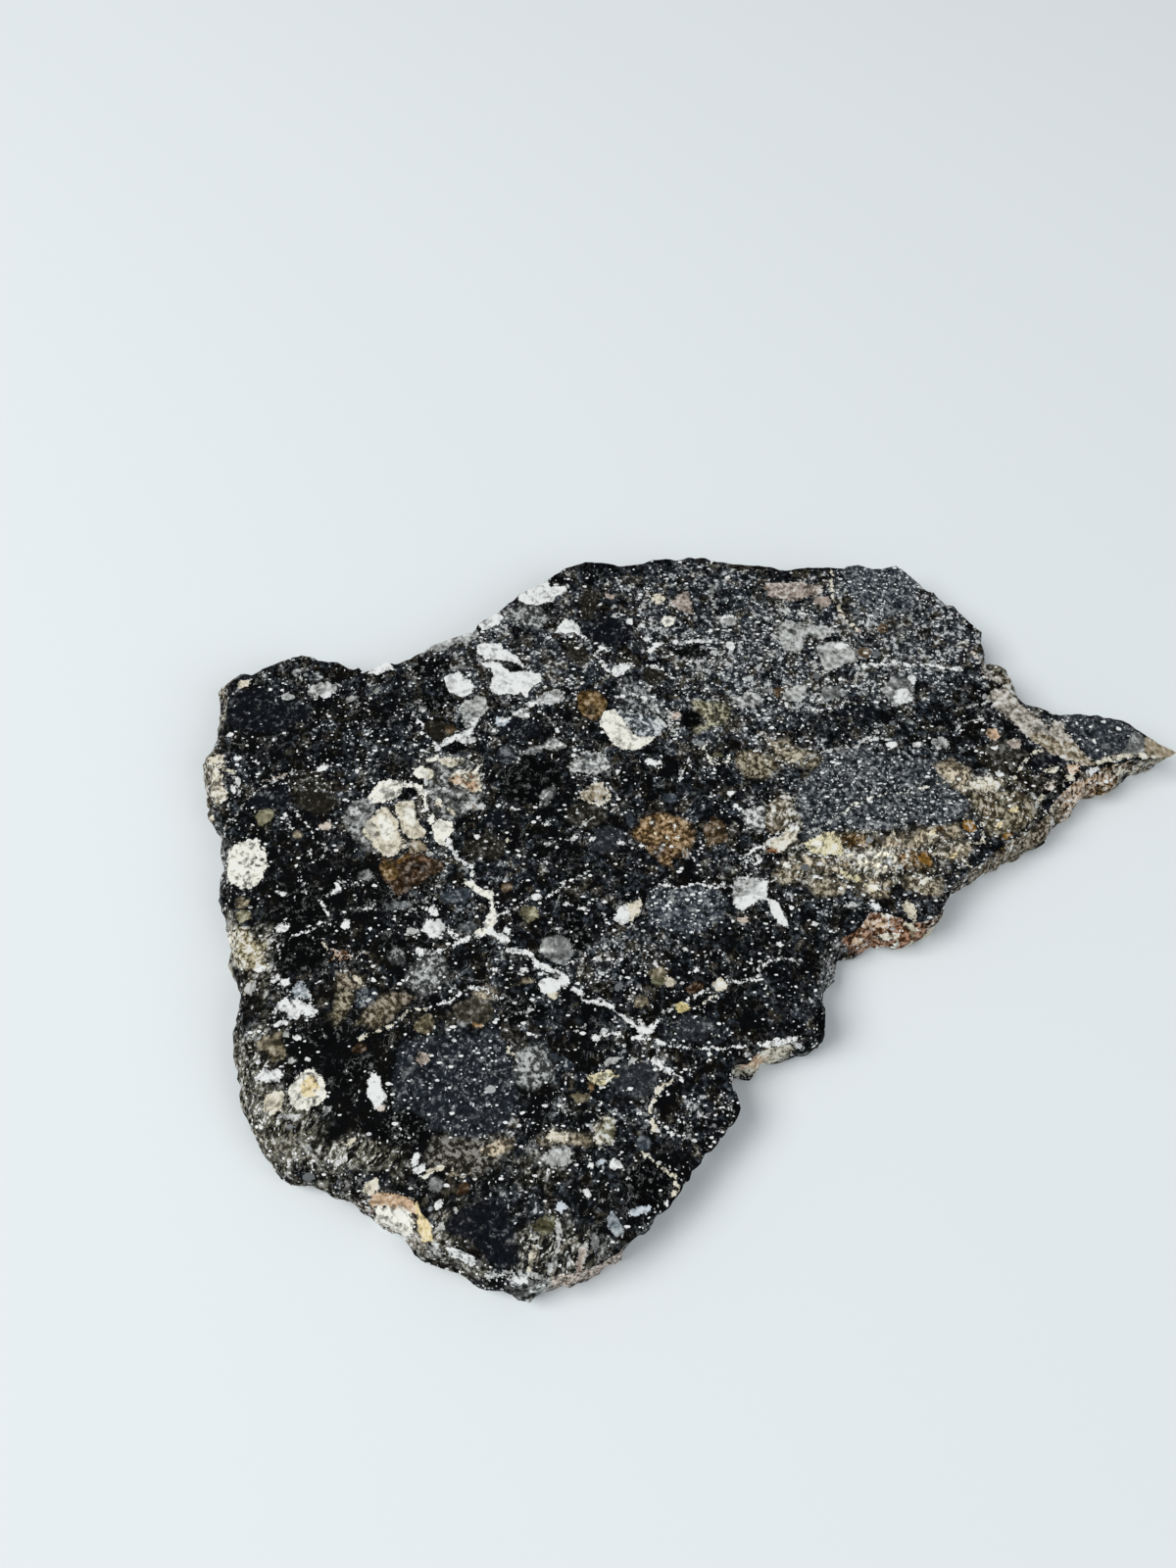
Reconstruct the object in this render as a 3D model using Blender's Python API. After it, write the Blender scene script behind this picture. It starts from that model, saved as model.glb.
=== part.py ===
"""A thin sawn slice of a black, brecciated stone meteorite, lying flat.

The top and the bottom are flat saw cuts. The rim between them is the meteorite's own broken and
weathered outside. It swells out under the top edge on the left and along the right-hand diagonal,
and it tucks in under the sharp lower right edge and under the thin tip.

Units are metres with +Z up. The origin is the middle of the slice's underside. +X runs along the
slice to its pointed tip and +Y to its far, rounded edge.
"""

import math

import bmesh
import bpy
from mathutils import Vector, noise

MM = 0.001

THICKNESS = 3.2      # between the two saw cuts, mm
STEP = 0.62          # longest piece of rim between two points, mm
JAG = 0.09           # how far the sawn edge wanders between the outline's points, mm
DIRECTION_REACH = 5  # rim points on each side that set the way the rim leans
LEAN_REACH = 2       # rim points on each side that smooth how far it leans

# The rim's sections, from the top cut down to the bottom cut: how deep each one lies, how much of
# the lean it has where the rim swells out, how much where it tucks in, and how rough it is.
SECTIONS = [
    # depth, swell, tuck, rough
    (0.00, 0.00, 0.00, 0.0),
    (0.13, 0.42, 0.22, 0.7),
    (0.34, 0.86, 0.50, 1.0),
    (0.57, 1.00, 0.76, 1.0),
    (0.80, 0.94, 0.90, 0.9),
    (1.00, 0.72, 1.00, 0.4),
]

LUMP_SIZE = 2.3      # rounded lumps that stand out of the rim, mm
LUMP_HEIGHT = 0.75
LEDGE_SIZE = 1.3     # small ledges and pits between them, mm
LEDGE_HEIGHT = 0.30
WOBBLE = 0.16        # how far a section wanders up and down, mm
TIP = (36.1, 9.35)   # the pointed end, which is too thin to be rough, mm
TIP_REACH = 4.0

# The top cut's outline, mm, clockwise from the upper left corner: x, y and the rim's lean there.
# A positive lean swells out past the edge, and a negative one tucks in under it.
OUTLINE = [
    (-34.6, 15.6, 1.0), (-33.9, 16.15, 0.7), (-33.2, 16.15, 0.5), (-32.0, 16.9, 0.5),
    (-30.5, 17.7, 0.5), (-29.6, 17.95, 0.5), (-28.85, 17.85, 0.5), (-28.3, 17.5, 0.4),
    (-26.9, 17.3, 0.4), (-25.35, 16.6, 0.3), (-25.0, 16.8, 0.3), (-24.6, 16.4, 0.3),
    (-23.85, 16.7, 0.4), (-23.05, 17.35, 0.5), (-22.2, 17.1, 0.5), (-21.2, 17.6, 0.6),
    (-20.7, 18.0, 0.6), (-19.9, 18.3, 0.6), (-19.4, 18.9, 0.6), (-17.9, 19.6, 0.6),
    (-17.0, 20.1, 0.5), (-16.4, 20.1, 0.5), (-15.9, 21.0, 0.4), (-14.4, 22.1, 0.4),
    (-13.5, 23.1, 0.4), (-12.75, 23.9, 0.5), (-11.5, 24.6, 0.5), (-10.5, 25.35, 0.5),
    (-9.3, 26.35, 0.5), (-7.6, 27.05, 0.5), (-5.85, 26.95, 0.4), (-4.9, 26.65, 0.4),
    (-3.0, 26.85, 0.4), (-2.2, 27.25, 0.4), (-0.8, 27.4, 0.3), (-0.3, 27.2, 0.3),
    (0.8, 27.5, 0.3), (2.2, 27.45, 0.3), (3.0, 27.1, 0.3), (4.9, 26.85, 0.4),
    (7.5, 26.5, 0.4), (8.6, 26.2, 0.4), (10.85, 26.5, 0.4), (13.2, 26.45, 0.4),
    (14.45, 26.8, 0.4), (15.6, 26.35, 0.4), (16.3, 26.35, 0.3), (17.5, 26.7, 0.3),
    (18.0, 26.3, 0.3), (18.8, 25.2, 0.3), (19.75, 24.1, 0.3), (20.15, 24.0, 0.3),
    (20.9, 22.9, 0.3), (21.55, 22.65, 0.3), (22.4, 21.4, 0.3), (23.2, 20.3, 0.3),
    (23.05, 19.3, 0.4), (23.3, 18.6, 0.5), (22.9, 17.5, 0.8),
    # The chipped corner, whose ledge lies below the top cut.
    (22.9, 16.6, 1.6), (23.6, 15.6, 2.0), (24.5, 14.8, 1.4), (25.1, 14.2, 0.6),
    # The pointed end.
    (25.7, 13.5, 0.3), (26.8, 13.2, 0.2), (27.6, 12.7, 0.2), (29.1, 12.65, 0.2),
    (30.9, 12.55, 0.1), (32.2, 12.2, 0.0), (33.2, 11.8, -0.2), (34.3, 10.7, -0.3),
    (35.3, 9.85, -0.4), (36.1, 9.35, -1.2), (35.6, 9.0, -0.4), (34.1, 8.9, -0.3),
    # The right-hand diagonal, with its lumpy rim.
    (33.2, 8.7, 0.1), (32.4, 8.6, 0.6), (30.95, 8.2, 1.1), (28.85, 7.8, 1.4),
    (27.9, 6.7, 1.3), (26.2, 5.05, 1.0), (25.0, 3.6, 1.1), (23.85, 2.75, 0.8),
    (22.9, 2.3, 1.0), (21.3, 1.2, 0.5), (20.4, 0.4, 0.3), (19.0, -0.5, 0.2),
    (18.0, -1.3, 0.1), (17.35, -2.6, 0.1), (16.6, -3.7, 0.2), (15.7, -3.95, 0.5),
    (14.8, -4.1, 0.8), (14.1, -3.9, 1.2), (13.4, -3.5, 1.7), (12.0, -3.3, 2.0),
    (11.5, -4.1, 1.3), (10.8, -4.8, 0.9), (9.9, -5.15, 0.9), (8.6, -5.75, 1.3),
    (8.15, -6.5, 1.6), (8.3, -7.4, 1.2), (8.05, -8.2, 0.9), (7.75, -9.1, 0.6),
    (8.2, -10.1, 0.2), (8.3, -10.9, 0.2), (8.0, -11.8, 0.3), (6.6, -12.1, 0.5),
    (5.0, -12.7, 0.3), (3.9, -12.75, 0.6), (3.4, -13.3, 0.5), (2.8, -13.9, 0.2),
    # The sharp lower right edge.
    (2.1, -13.95, 0.1), (1.9, -15.0, -0.2), (2.1, -15.7, -0.3), (2.35, -16.7, -0.4),
    (2.1, -17.2, -0.5), (1.2, -18.3, -0.5), (0.7, -18.95, -0.5), (-0.1, -19.5, -0.5),
    (-0.35, -20.0, -0.5), (-1.0, -20.5, -0.5), (-1.15, -21.0, -0.4), (-2.0, -22.1, -0.4),
    (-2.4, -22.65, -0.4), (-3.3, -23.15, -0.4), (-3.8, -23.7, -0.3), (-5.05, -24.7, -0.2),
    (-5.5, -25.2, 0.1), (-6.8, -25.9, 0.3), (-8.1, -26.3, 0.4), (-9.6, -26.6, 0.6),
    # The near left rim, weathered and sloping far out.
    (-10.8, -26.7, 0.9), (-12.0, -26.4, 1.1), (-13.2, -26.0, 1.1), (-14.4, -25.4, 1.3),
    (-15.6, -24.9, 1.3), (-16.6, -24.3, 1.3), (-17.2, -23.3, 1.7), (-18.0, -22.1, 2.3),
    (-19.6, -21.6, 2.0), (-21.2, -21.2, 1.4), (-22.5, -20.4, 1.7), (-23.7, -19.5, 2.2),
    (-25.0, -18.8, 2.4), (-26.4, -18.1, 2.3), (-27.4, -17.2, 2.1), (-28.2, -16.2, 1.9),
    (-28.8, -15.0, 1.6), (-29.3, -13.6, 1.3), (-29.8, -12.2, 1.1), (-30.2, -10.6, 0.9),
    (-30.3, -9.0, 0.9), (-30.5, -7.6, 1.0), (-31.0, -6.4, 1.1), (-31.2, -5.2, 1.1),
    (-31.5, -4.0, 1.0), (-31.9, -3.0, 0.9), (-32.3, -1.8, 1.1), (-32.6, -0.4, 1.0),
    (-32.6, 1.0, 1.1), (-32.8, 2.4, 1.1), (-33.0, 3.5, 1.1), (-33.9, 4.6, 1.1),
    (-34.6, 6.2, 1.1), (-34.5, 7.5, 1.2), (-34.9, 8.5, 1.2), (-34.9, 9.5, 1.3),
    (-34.7, 11.0, 1.2), (-34.6, 12.4, 1.2), (-34.7, 14.2, 1.3), (-34.9, 14.9, 1.1),
]


def clear_scene():
    for old in list(bpy.data.objects):
        bpy.data.objects.remove(old, do_unlink=True)


def stone_material():
    mat = bpy.data.materials.new("meteorite_stone")
    mat.use_nodes = True
    bsdf = mat.node_tree.nodes["Principled BSDF"]
    bsdf.inputs["Base Color"].default_value = (0.035, 0.037, 0.042, 1.0)
    bsdf.inputs["Roughness"].default_value = 0.6
    bsdf.inputs["Metallic"].default_value = 0.0
    return mat


def rim_points():
    """The outline's points with shorter pieces between them, each wandering a little sideways."""
    points = []
    leans = []
    for i, (x0, y0, lean0) in enumerate(OUTLINE):
        x1, y1, lean1 = OUTLINE[(i + 1) % len(OUTLINE)]
        start = Vector((x0, y0, 0.0))
        along = Vector((x1, y1, 0.0)) - start
        pieces = max(1, math.ceil(along.length / STEP))
        side = Vector((-along.y, along.x, 0.0)).normalized()
        for k in range(pieces):
            share = k / pieces
            point = start + along * share
            if k > 0:
                point += side * JAG * 2.0 * noise.noise(point * 1.7)
            points.append(point)
            leans.append(lean0 + (lean1 - lean0) * share)
    return points, leans


def outward(points, i):
    """The rim's outward direction at one point, from its neighbours on each side."""
    count = len(points)
    before = points[(i - DIRECTION_REACH) % count]
    after = points[(i + DIRECTION_REACH) % count]
    along = (after - before).normalized()
    return Vector((-along.y, along.x, 0.0))


def smooth_lean(leans, i):
    count = len(leans)
    reach = range(-LEAN_REACH, LEAN_REACH + 1)
    return sum(leans[(i + k) % count] for k in reach) / len(reach)


def roughness(point):
    """Lumps with small ledges and pits between them, in mm outwards."""
    nearest = noise.voronoi(point / LUMP_SIZE + Vector((3.1, 7.7, 0.4)))[0][0]
    ledge = noise.noise(point / LEDGE_SIZE + Vector((11.3, 2.9, 5.2)))
    calm = min(1.0, math.hypot(point.x - TIP[0], point.y - TIP[1]) / TIP_REACH)
    return calm * (LUMP_HEIGHT * (0.45 - nearest) + LEDGE_HEIGHT * ledge)


def rim_sections():
    """One closed ring of points for each section, from the top cut to the bottom cut."""
    points, leans = rim_points()
    directions = [outward(points, i) for i in range(len(points))]
    smoothed = [smooth_lean(leans, i) for i in range(len(points))]
    rings = []
    last = len(SECTIONS) - 1
    for level, (depth, swell, tuck, rough) in enumerate(SECTIONS):
        ring = []
        for point, direction, lean in zip(points, directions, smoothed):
            z = THICKNESS * (1.0 - depth)
            if 0 < level < last:
                z += WOBBLE * noise.noise(Vector((point.x, point.y, 9.0 * level)) * 0.45)
            place = Vector((point.x, point.y, z))
            offset = lean * (swell if lean > 0 else tuck) + rough * roughness(place)
            ring.append(place + direction * offset)
        rings.append(ring)
    return rings


def centred(rings):
    """The same rings, moved so that their box stands on the origin."""
    xs = [p.x for ring in rings for p in ring]
    ys = [p.y for ring in rings for p in ring]
    middle = Vector(((min(xs) + max(xs)) / 2, (min(ys) + max(ys)) / 2, 0.0))
    return [[p - middle for p in ring] for ring in rings]


def loft(name, rings, material, collection):
    """A closed solid from rings of equal count, capped flat at both ends."""
    bm = bmesh.new()
    loops = [[bm.verts.new(p * MM) for p in ring] for ring in rings]
    count = len(loops[0])
    for upper, lower in zip(loops, loops[1:]):
        for i in range(count):
            j = (i + 1) % count
            if (upper[i].co - lower[j].co).length < (upper[j].co - lower[i].co).length:
                bm.faces.new((upper[i], upper[j], lower[j]))
                bm.faces.new((upper[i], lower[j], lower[i]))
            else:
                bm.faces.new((upper[i], upper[j], lower[i]))
                bm.faces.new((upper[j], lower[j], lower[i]))
    caps = [bm.faces.new(loops[0]), bm.faces.new(loops[-1])]
    bmesh.ops.triangulate(bm, faces=caps)
    bmesh.ops.recalc_face_normals(bm, faces=bm.faces)
    mesh = bpy.data.meshes.new(name)
    bm.to_mesh(mesh)
    bm.free()
    mesh.materials.append(material)
    obj = bpy.data.objects.new(name, mesh)
    collection.objects.link(obj)
    return obj


def main():
    clear_scene()
    collection = bpy.data.collections.new("meteorite_slice")
    bpy.context.scene.collection.children.link(collection)
    rings = centred(rim_sections())
    loft("meteorite_slice", rings, stone_material(), collection)


main()
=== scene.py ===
"""A sawn slice of black brecciated meteorite: its fine mesh, markings, material, floor, light and camera.

Every marking is listed one by one, in millimetres on the sawn face. From these outlines the script
works out how far each point of the mesh lies inside the nearest clast, vein or crack, and keeps
that as attributes. The material turns them into crisp edges and adds the grain by itself.
"""

import math

import bmesh
import bpy
import numpy as np
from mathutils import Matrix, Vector, kdtree, noise
from mathutils.geometry import delaunay_2d_cdt


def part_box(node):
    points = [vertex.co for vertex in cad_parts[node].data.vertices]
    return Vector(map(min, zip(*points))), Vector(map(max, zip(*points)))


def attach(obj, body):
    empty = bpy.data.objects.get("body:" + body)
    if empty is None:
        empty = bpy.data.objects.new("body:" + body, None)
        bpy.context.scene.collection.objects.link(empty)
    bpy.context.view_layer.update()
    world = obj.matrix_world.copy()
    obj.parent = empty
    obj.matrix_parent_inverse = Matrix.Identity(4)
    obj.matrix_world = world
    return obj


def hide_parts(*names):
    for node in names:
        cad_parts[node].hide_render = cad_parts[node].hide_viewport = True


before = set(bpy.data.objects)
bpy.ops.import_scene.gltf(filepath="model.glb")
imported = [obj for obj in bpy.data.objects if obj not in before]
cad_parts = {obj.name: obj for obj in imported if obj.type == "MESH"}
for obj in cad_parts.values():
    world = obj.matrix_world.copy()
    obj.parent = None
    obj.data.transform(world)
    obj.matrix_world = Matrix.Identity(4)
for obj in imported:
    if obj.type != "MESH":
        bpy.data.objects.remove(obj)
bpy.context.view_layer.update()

NODE = "meteorite_slice"
MM = 0.001

# ---- sizes, in mm

TRACE_SHIFT = (0.06, -0.08)  # from the frame the markings are written in to the row's frame
FACE_SPACING = 0.122
UNDER_SPACING = 0.24
RIM_CUTS = 3                 # new points on each edge of the rim's coarse mesh
EDGE_NICK = 0.045            # how far the sawn edge is nicked
RIM_GRAIN = 0.11             # how deep the rim's fine grain goes
REACH = 1.2                  # how far a marking is felt outside its own edge
SPLIT_X = -3.0               # where the sawn face is cut into two pieces
EYE = (-7.336, -33.616, 78.88)  # where the camera is

# ---- colours of the minerals, as seen: red, green, blue from 0 to 255

INK = {
    "white": (222, 225, 224),
    "blue": (184, 194, 202),
    "cream": (208, 202, 182),
    "yellow": (196, 182, 128),
    "pink": (186, 172, 160),
    "pale": (168, 171, 168),
    "grey": (118, 121, 120),
    "smoke": (92, 96, 98),
    "tan": (126, 117, 97),
    "sand": (150, 138, 115),
    "ochre": (130, 104, 68),
    "drab": (106, 98, 76),
    "brown": (86, 70, 48),
    "rust": (64, 46, 27),
    "umber": (38, 35, 27),
    "clay": (70, 66, 56),
    "olive": (84, 82, 58),
    "sage": (120, 117, 92),
    "iron": (55, 61, 67),
    "slate": (56, 64, 72),
    "coal": (46, 50, 55),
    "navy": (16, 20, 27),
    "black": (2, 3, 4),
    "ivory": (230, 229, 218),
    "lemon": (214, 206, 168),
    "gold": (132, 98, 42),
    "ember": (128, 88, 58),
    "peach": (196, 168, 138),
    "rose": (158, 146, 136),
    "buff": (172, 162, 130),
    "steel": (134, 144, 150),
    "ash": (36, 41, 48),
    "fibre": (120, 117, 102),
    "honey": (106, 84, 48),
    "dun": (104, 94, 76),
    "butter": (222, 205, 158),
    "shell": (172, 166, 154),
}

# ---- clasts. Each is x, y, width, height, turn in degrees, colour, grain from 0 (milky) to 1.

BRIGHT = [
    # left end
    (-34.0, 10.8, 0.5, 0.4, 0, "white", 0.1), (-30.0, 11.0, 0.25, 0.25, 0, "white", 0.0),
    (-30.8, 10.4, 0.25, 0.25, 0, "white", 0.0), (-33.2, 8.9, 0.7, 0.4, 20, "white", 0.2),
    (-31.9, 8.6, 0.3, 0.3, 0, "white", 0.1), (-26.9, 8.1, 0.9, 0.5, 10, "white", 0.0),
    (-24.5, 7.8, 0.35, 0.35, 0, "white", 0.0), 
    (-33.1, 6.3, 0.3, 0.6, 20, "white", 0.1),
    (-32.8, 6.8, 0.25, 0.5, 20, "white", 0.1), (-32.6, 6.1, 0.3, 0.3, 0, "white", 0.1),
    
    (-27.6, 14.9, 2.5, 1.2, 10, "pale", 0.5), (-27.2, 14.4, 0.9, 0.5, 0, "white", 0.1),
    (-30.1, 14.3, 1.1, 0.6, 0, "pale", 0.4), (-31.5, 14.7, 0.3, 0.3, 0, "white", 0.0),
    (-33.7, 15.5, 0.9, 0.7, 20, "cream", 0.4), (-32.3, 16.1, 0.5, 0.4, 0, "white", 0.2),
    (-25.4, 13.9, 0.5, 0.5, 0, "pale", 0.2), (-23.5, 14.7, 0.5, 0.5, 0, "pale", 0.2),
    (-26.1, 3.3, 0.9, 0.7, 0, "pink", 0.3), 
    
    (-28.2, 4.1, 0.22, 0.4, 20, "white", 0.0), (-29.1, 4.0, 0.22, 0.45, 30, "white", 0.0),
    (-33.0, 7.1, 0.25, 0.8, 15, "white", 0.1), (-30.0, -8.7, 0.8, 0.9, 0, "buff", 0.5),
    # big white group
    (-21.8, 3.1, 1.1, 2.1, 20, "ivory", 0.2), (-20.2, 4.1, 0.9, 1.7, 15, "ivory", 0.1),
    (-19.6, 7.7, 1.2, 1.0, 0, "ivory", 0.1), (-16.6, 7.8, 0.8, 0.5, 20, "ivory", 0.3),
    (-17.9, 6.3, 0.8, 0.8, 0, "pale", 0.6), (-15.5, 8.1, 0.3, 1.1, -30, "ivory", 0.2),
    (-15.2, 4.8, 0.7, 0.5, 20, "pale", 0.4), (-17.0, 7.0, 0.9, 0.9, 0, "peach", 0.8),
    (-15.9, 6.6, 0.9, 1.0, 0, "peach", 0.8),
    (-18.55, 1.15, 0.55, 0.5, 0, "pale", 0.2), (-24.0, 4.3, 0.8, 0.5, 20, "pale", 0.7),
    (-17.9, 7.4, 0.7, 0.6, 0, "pale", 0.6), (-17.9, 6.3, 0.6, 0.6, 0, "pale", 0.6),
    (-18.2, 5.2, 0.6, 0.8, 0, "cream", 0.6), (-17.3, 4.6, 0.8, 0.5, 0, "cream", 0.6),
    (-15.8, 5.0, 0.9, 0.6, 0, "pale", 0.6), (-19.3, 6.8, 0.28, 1.0, 0, "white", 0.1),
    (-18.5, 9.6, 0.5, 0.45, 0, "white", 0.0), (-8.0, 18.9, 0.4, 0.4, 0, "pale", 0.3),
    (-6.3, 18.6, 0.7, 0.35, -10, "white", 0.1), (-17.5, 16.8, 1.4, 0.5, 0, "grey", 0.6),
    
    
    
    (-17.6, 10.3, 1.4, 0.5, 35, "white", 0.3), 
    (-16.2, 10.4, 1.2, 0.5, 15, "white", 0.3), (-14.5, 11.2, 0.5, 0.3, 20, "white", 0.0),
    (-14.0, 12.0, 1.1, 0.9, 20, "blue", 0.2), (-12.6, 12.7, 0.9, 0.7, 30, "pale", 0.5),
    (-11.8, 13.5, 0.9, 0.5, 20, "white", 0.3), 
    (-20.2, 12.0, 0.4, 0.4, 0, "white", 0.2), (-20.6, 12.6, 0.3, 0.4, 0, "pale", 0.2),
    (-19.8, 13.1, 0.8, 0.6, 20, "pale", 0.4), (-17.3, 10.6, 0.7, 0.5, 30, "white", 0.2),
    # upper left whites
    
    
    
    
    
    (-16.0, 13.3, 2.1, 1.7, 0, "pale", 0.45), (-16.2, 12.3, 1.2, 1.2, 0, "grey", 0.5),
    # upper middle
    (-5.7, 23.7, 0.6, 0.5, 0, "pink", 0.3), (-3.3, 23.7, 0.4, 0.4, 0, "white", 0.1),
    (-4.1, 21.2, 0.6, 0.5, 0, "white", 0.1), (-5.2, 21.6, 0.35, 0.3, 0, "white", 0.1),
    (-3.2, 20.8, 0.5, 0.45, 0, "white", 0.0), (-2.9, 19.6, 0.5, 0.5, 0, "white", 0.1),
    (-2.1, 19.1, 0.7, 0.5, 0, "white", 0.1), (-2.6, 18.6, 0.6, 0.4, 10, "white", 0.1),
    (-0.6, 19.2, 0.5, 0.5, 0, "white", 0.1),
    (-1.8, 23.4, 1.2, 1.0, 0, "cream", 0.4), 
    
    (9.5, 22.0, 0.8, 0.3, 0, "white", 0.1),
    (12.75, 21.8, 0.6, 0.5, 0, "pink", 0.2), (13.7, 20.4, 0.6, 0.5, 0, "pink", 0.2),
    (10.8, 20.0, 2.0, 0.8, 10, "pale", 0.5), 
    (12.4, 18.9, 0.9, 0.6, 0, "white", 0.1), (17.4, 15.8, 0.7, 0.9, 0, "white", 0.2),
    (16.3, 14.9, 2.3, 3.0, 0, "grey", 0.6), (16.5, 14.2, 1.4, 1.5, 0, "white", 0.35),
    (3.6, 19.0, 0.8, 0.7, 0, "white", 0.0),
    (2.3, 20.2, 0.4, 0.4, 0, "white", 0.0), (3.5, 21.2, 1.2, 0.9, 0, "pale", 0.4),
    (5.0, 13.8, 2.0, 1.0, 10, "grey", 0.6), (8.7, 14.5, 1.4, 1.2, 0, "pale", 0.5),
    (6.5, 13.85, 0.3, 0.3, 0, "white", 0.0), (7.65, 13.4, 0.3, 0.3, 0, "white", 0.0),
    (-8.4, 9.6, 0.28, 0.28, 0, "white", 0.0), (-8.4, 10.5, 0.3, 0.3, 0, "white", 0.0),
    (-9.7, 11.3, 0.3, 0.5, 0, "white", 0.0), (-2.7, 8.4, 0.9, 0.45, -8, "white", 0.1),
    (-2.1, 8.4, 0.35, 0.3, 0, "white", 0.0), (-5.3, 7.8, 0.3, 0.45, 0, "white", 0.0),
    (-15.3, 2.5, 0.38, 0.35, 0, "white", 0.0), (-12.2, 0.9, 0.3, 0.25, 0, "white", 0.0),
    (-10.4, 0.4, 0.25, 0.5, 15, "white", 0.0), (-9.7, 1.6, 0.3, 0.3, 0, "white", 0.0),
    (-10.2, 1.9, 0.4, 0.25, 40, "white", 0.1), (-13.0, 2.2, 0.28, 0.5, 0, "cream", 0.1),
    (-13.8, 5.0, 0.35, 0.35, 0, "white", 0.0), (-12.7, 4.7, 0.3, 0.25, 0, "white", 0.0),
    (-10.3, 3.4, 0.4, 0.25, 20, "white", 0.1), (-8.6, 2.4, 0.75, 0.35, 18, "white", 0.1),
    (-7.1, 2.3, 0.6, 0.3, 20, "white", 0.1), (-5.0, 1.8, 0.5, 0.3, 0, "white", 0.1),
    (-1.0, 12.6, 1.0, 0.8, 0, "pale", 0.6), (-0.9, 11.0, 0.5, 0.4, 0, "white", 0.1),
    (-11.0, 4.0, 0.3, 0.3, 0, "white", 0.0), (-6.8, 7.1, 0.3, 0.25, 0, "white", 0.0),
    (-1.2, 21.2, 1.05, 1.0, 0, "ivory", 0.0), (0.9, 19.25, 1.3, 0.4, -4, "white", 0.1),
    (2.1, 19.2, 0.5, 0.3, 0, "white", 0.0), (3.5, 21.6, 1.0, 0.4, 5, "white", 0.2),
    (3.9, 21.1, 0.8, 0.8, 0, "pale", 0.3), (11.3, 23.2, 1.3, 1.0, 0, "rose", 0.15),
    (12.2, 18.9, 0.8, 0.7, 0, "white", 0.05), (8.2, 22.2, 1.0, 0.7, 20, "pale", 0.6),
    (2.4, 24.4, 0.5, 1.0, -20, "grey", 0.4), (10.2, 14.0, 0.45, 0.4, 0, "white", 0.0),
    (9.6, 13.0, 0.3, 0.3, 0, "white", 0.0), (-0.8, 12.6, 0.8, 0.7, 0, "pink", 0.3),
    (-4.7, 14.2, 0.5, 0.4, 0, "white", 0.0), (-3.1, 14.1, 0.6, 0.35, 0, "white", 0.1),
    (-5.2, 14.2, 0.25, 0.25, 0, "white", 0.0), (-2.7, 14.9, 0.3, 0.3, 0, "white", 0.0),
    (-0.9, 10.8, 0.5, 0.35, 0, "white", 0.1), (-8.4, 9.1, 0.3, 0.3, 0, "white", 0.0),
    (-2.7, 3.4, 0.32, 0.25, 0, "ivory", 0.2), (-1.3, 3.3, 0.36, 0.25, 0, "ivory", 0.2),
    (-1.9, 2.4, 0.26, 0.22, 0, "ivory", 0.2), (-0.9, 2.6, 0.3, 0.2, 0, "butter", 0.2),
    (-2.6, 2.6, 0.25, 0.2, 0, "butter", 0.3), (-1.6, 1.7, 0.28, 0.2, 0, "ivory", 0.2),
    # right side
    (15.1, 10.05, 1.0, 0.6, 0, "white", 0.05), (17.0, 10.1, 0.7, 0.4, 15, "white", 0.05),
    (13.8, 10.6, 0.9, 0.5, 0, "white", 0.1), (22.8, 10.9, 0.95, 0.85, 0, "peach", 0.3),
    (24.3, 10.2, 1.0, 0.8, 0, "rose", 0.4), (22.4, 2.6, 0.9, 0.5, 10, "gold", 0.5),
    (16.4, 0.7, 0.9, 1.0, 30, "gold", 0.4), (19.8, 3.2, 1.0, 1.0, 0, "gold", 0.4),
    (5.7, 1.4, 0.9, 0.45, 0, "ember", 0.4), (12.6, 1.2, 0.5, 0.35, 20, "ivory", 0.1),
    (13.6, 0.6, 0.6, 0.5, 0, "white", 0.3), (8.9, 0.3, 0.4, 0.3, 0, "white", 0.1),
    (12.3, -1.6, 0.6, 0.4, -30, "lemon", 0.2), (11.3, -0.7, 0.7, 0.35, -35, "lemon", 0.2),
    (5.8, -0.7, 0.28, 0.28, 0, "white", 0.0), (10.8, -2.8, 0.9, 0.5, 0, "pale", 0.5),
    (13.3, -3.9, 1.4, 0.5, 0, "ember", 0.6), (13.2, -3.6, 0.9, 0.35, 0, "cream", 0.5),
    (29.3, 11.9, 0.25, 0.2, 0, "white", 0.0), (32.2, 11.4, 0.4, 0.35, 0, "white", 0.1),
    (30.3, 10.4, 0.2, 0.4, 30, "white", 0.0), (31.2, 11.9, 0.3, 0.2, 0, "white", 0.0),
    (26.6, 7.8, 1.2, 0.6, 20, "cream", 0.8), (28.2, 8.0, 1.2, 0.6, 10, "peach", 0.8),
    (29.6, 7.8, 1.0, 0.5, 20, "white", 0.6), (27.8, 7.2, 1.0, 0.5, 30, "cream", 0.8),
    (26.4, 6.6, 0.9, 0.5, 40, "pink", 0.7), (25.3, 5.4, 0.9, 0.5, 50, "cream", 0.8),
    (3.0, 5.9, 0.6, 0.45, 0, "white", 0.1),
    
    (22.7, 7.6, 0.6, 0.6, 0, "white", 0.2),
    
    (14.8, -3.1, 0.9, 1.6, 0, "cream", 0.25), (12.5, -2.8, 0.6, 0.5, 0, "white", 0.2),
    (3.3, -3.9, 0.8, 0.5, 20, "pink", 0.2), (5.6, -5.6, 0.5, 0.35, 0, "white", 0.0),
    (8.1, -4.1, 0.4, 0.35, 0, "white", 0.0), (1.4, -8.5, 1.1, 0.8, 10, "cream", 0.4),
    (6.6, 0.3, 0.8, 0.5, 30, "ivory", 0.7), (9.6, 0.2, 0.9, 0.4, 35, "cream", 0.8),
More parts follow.
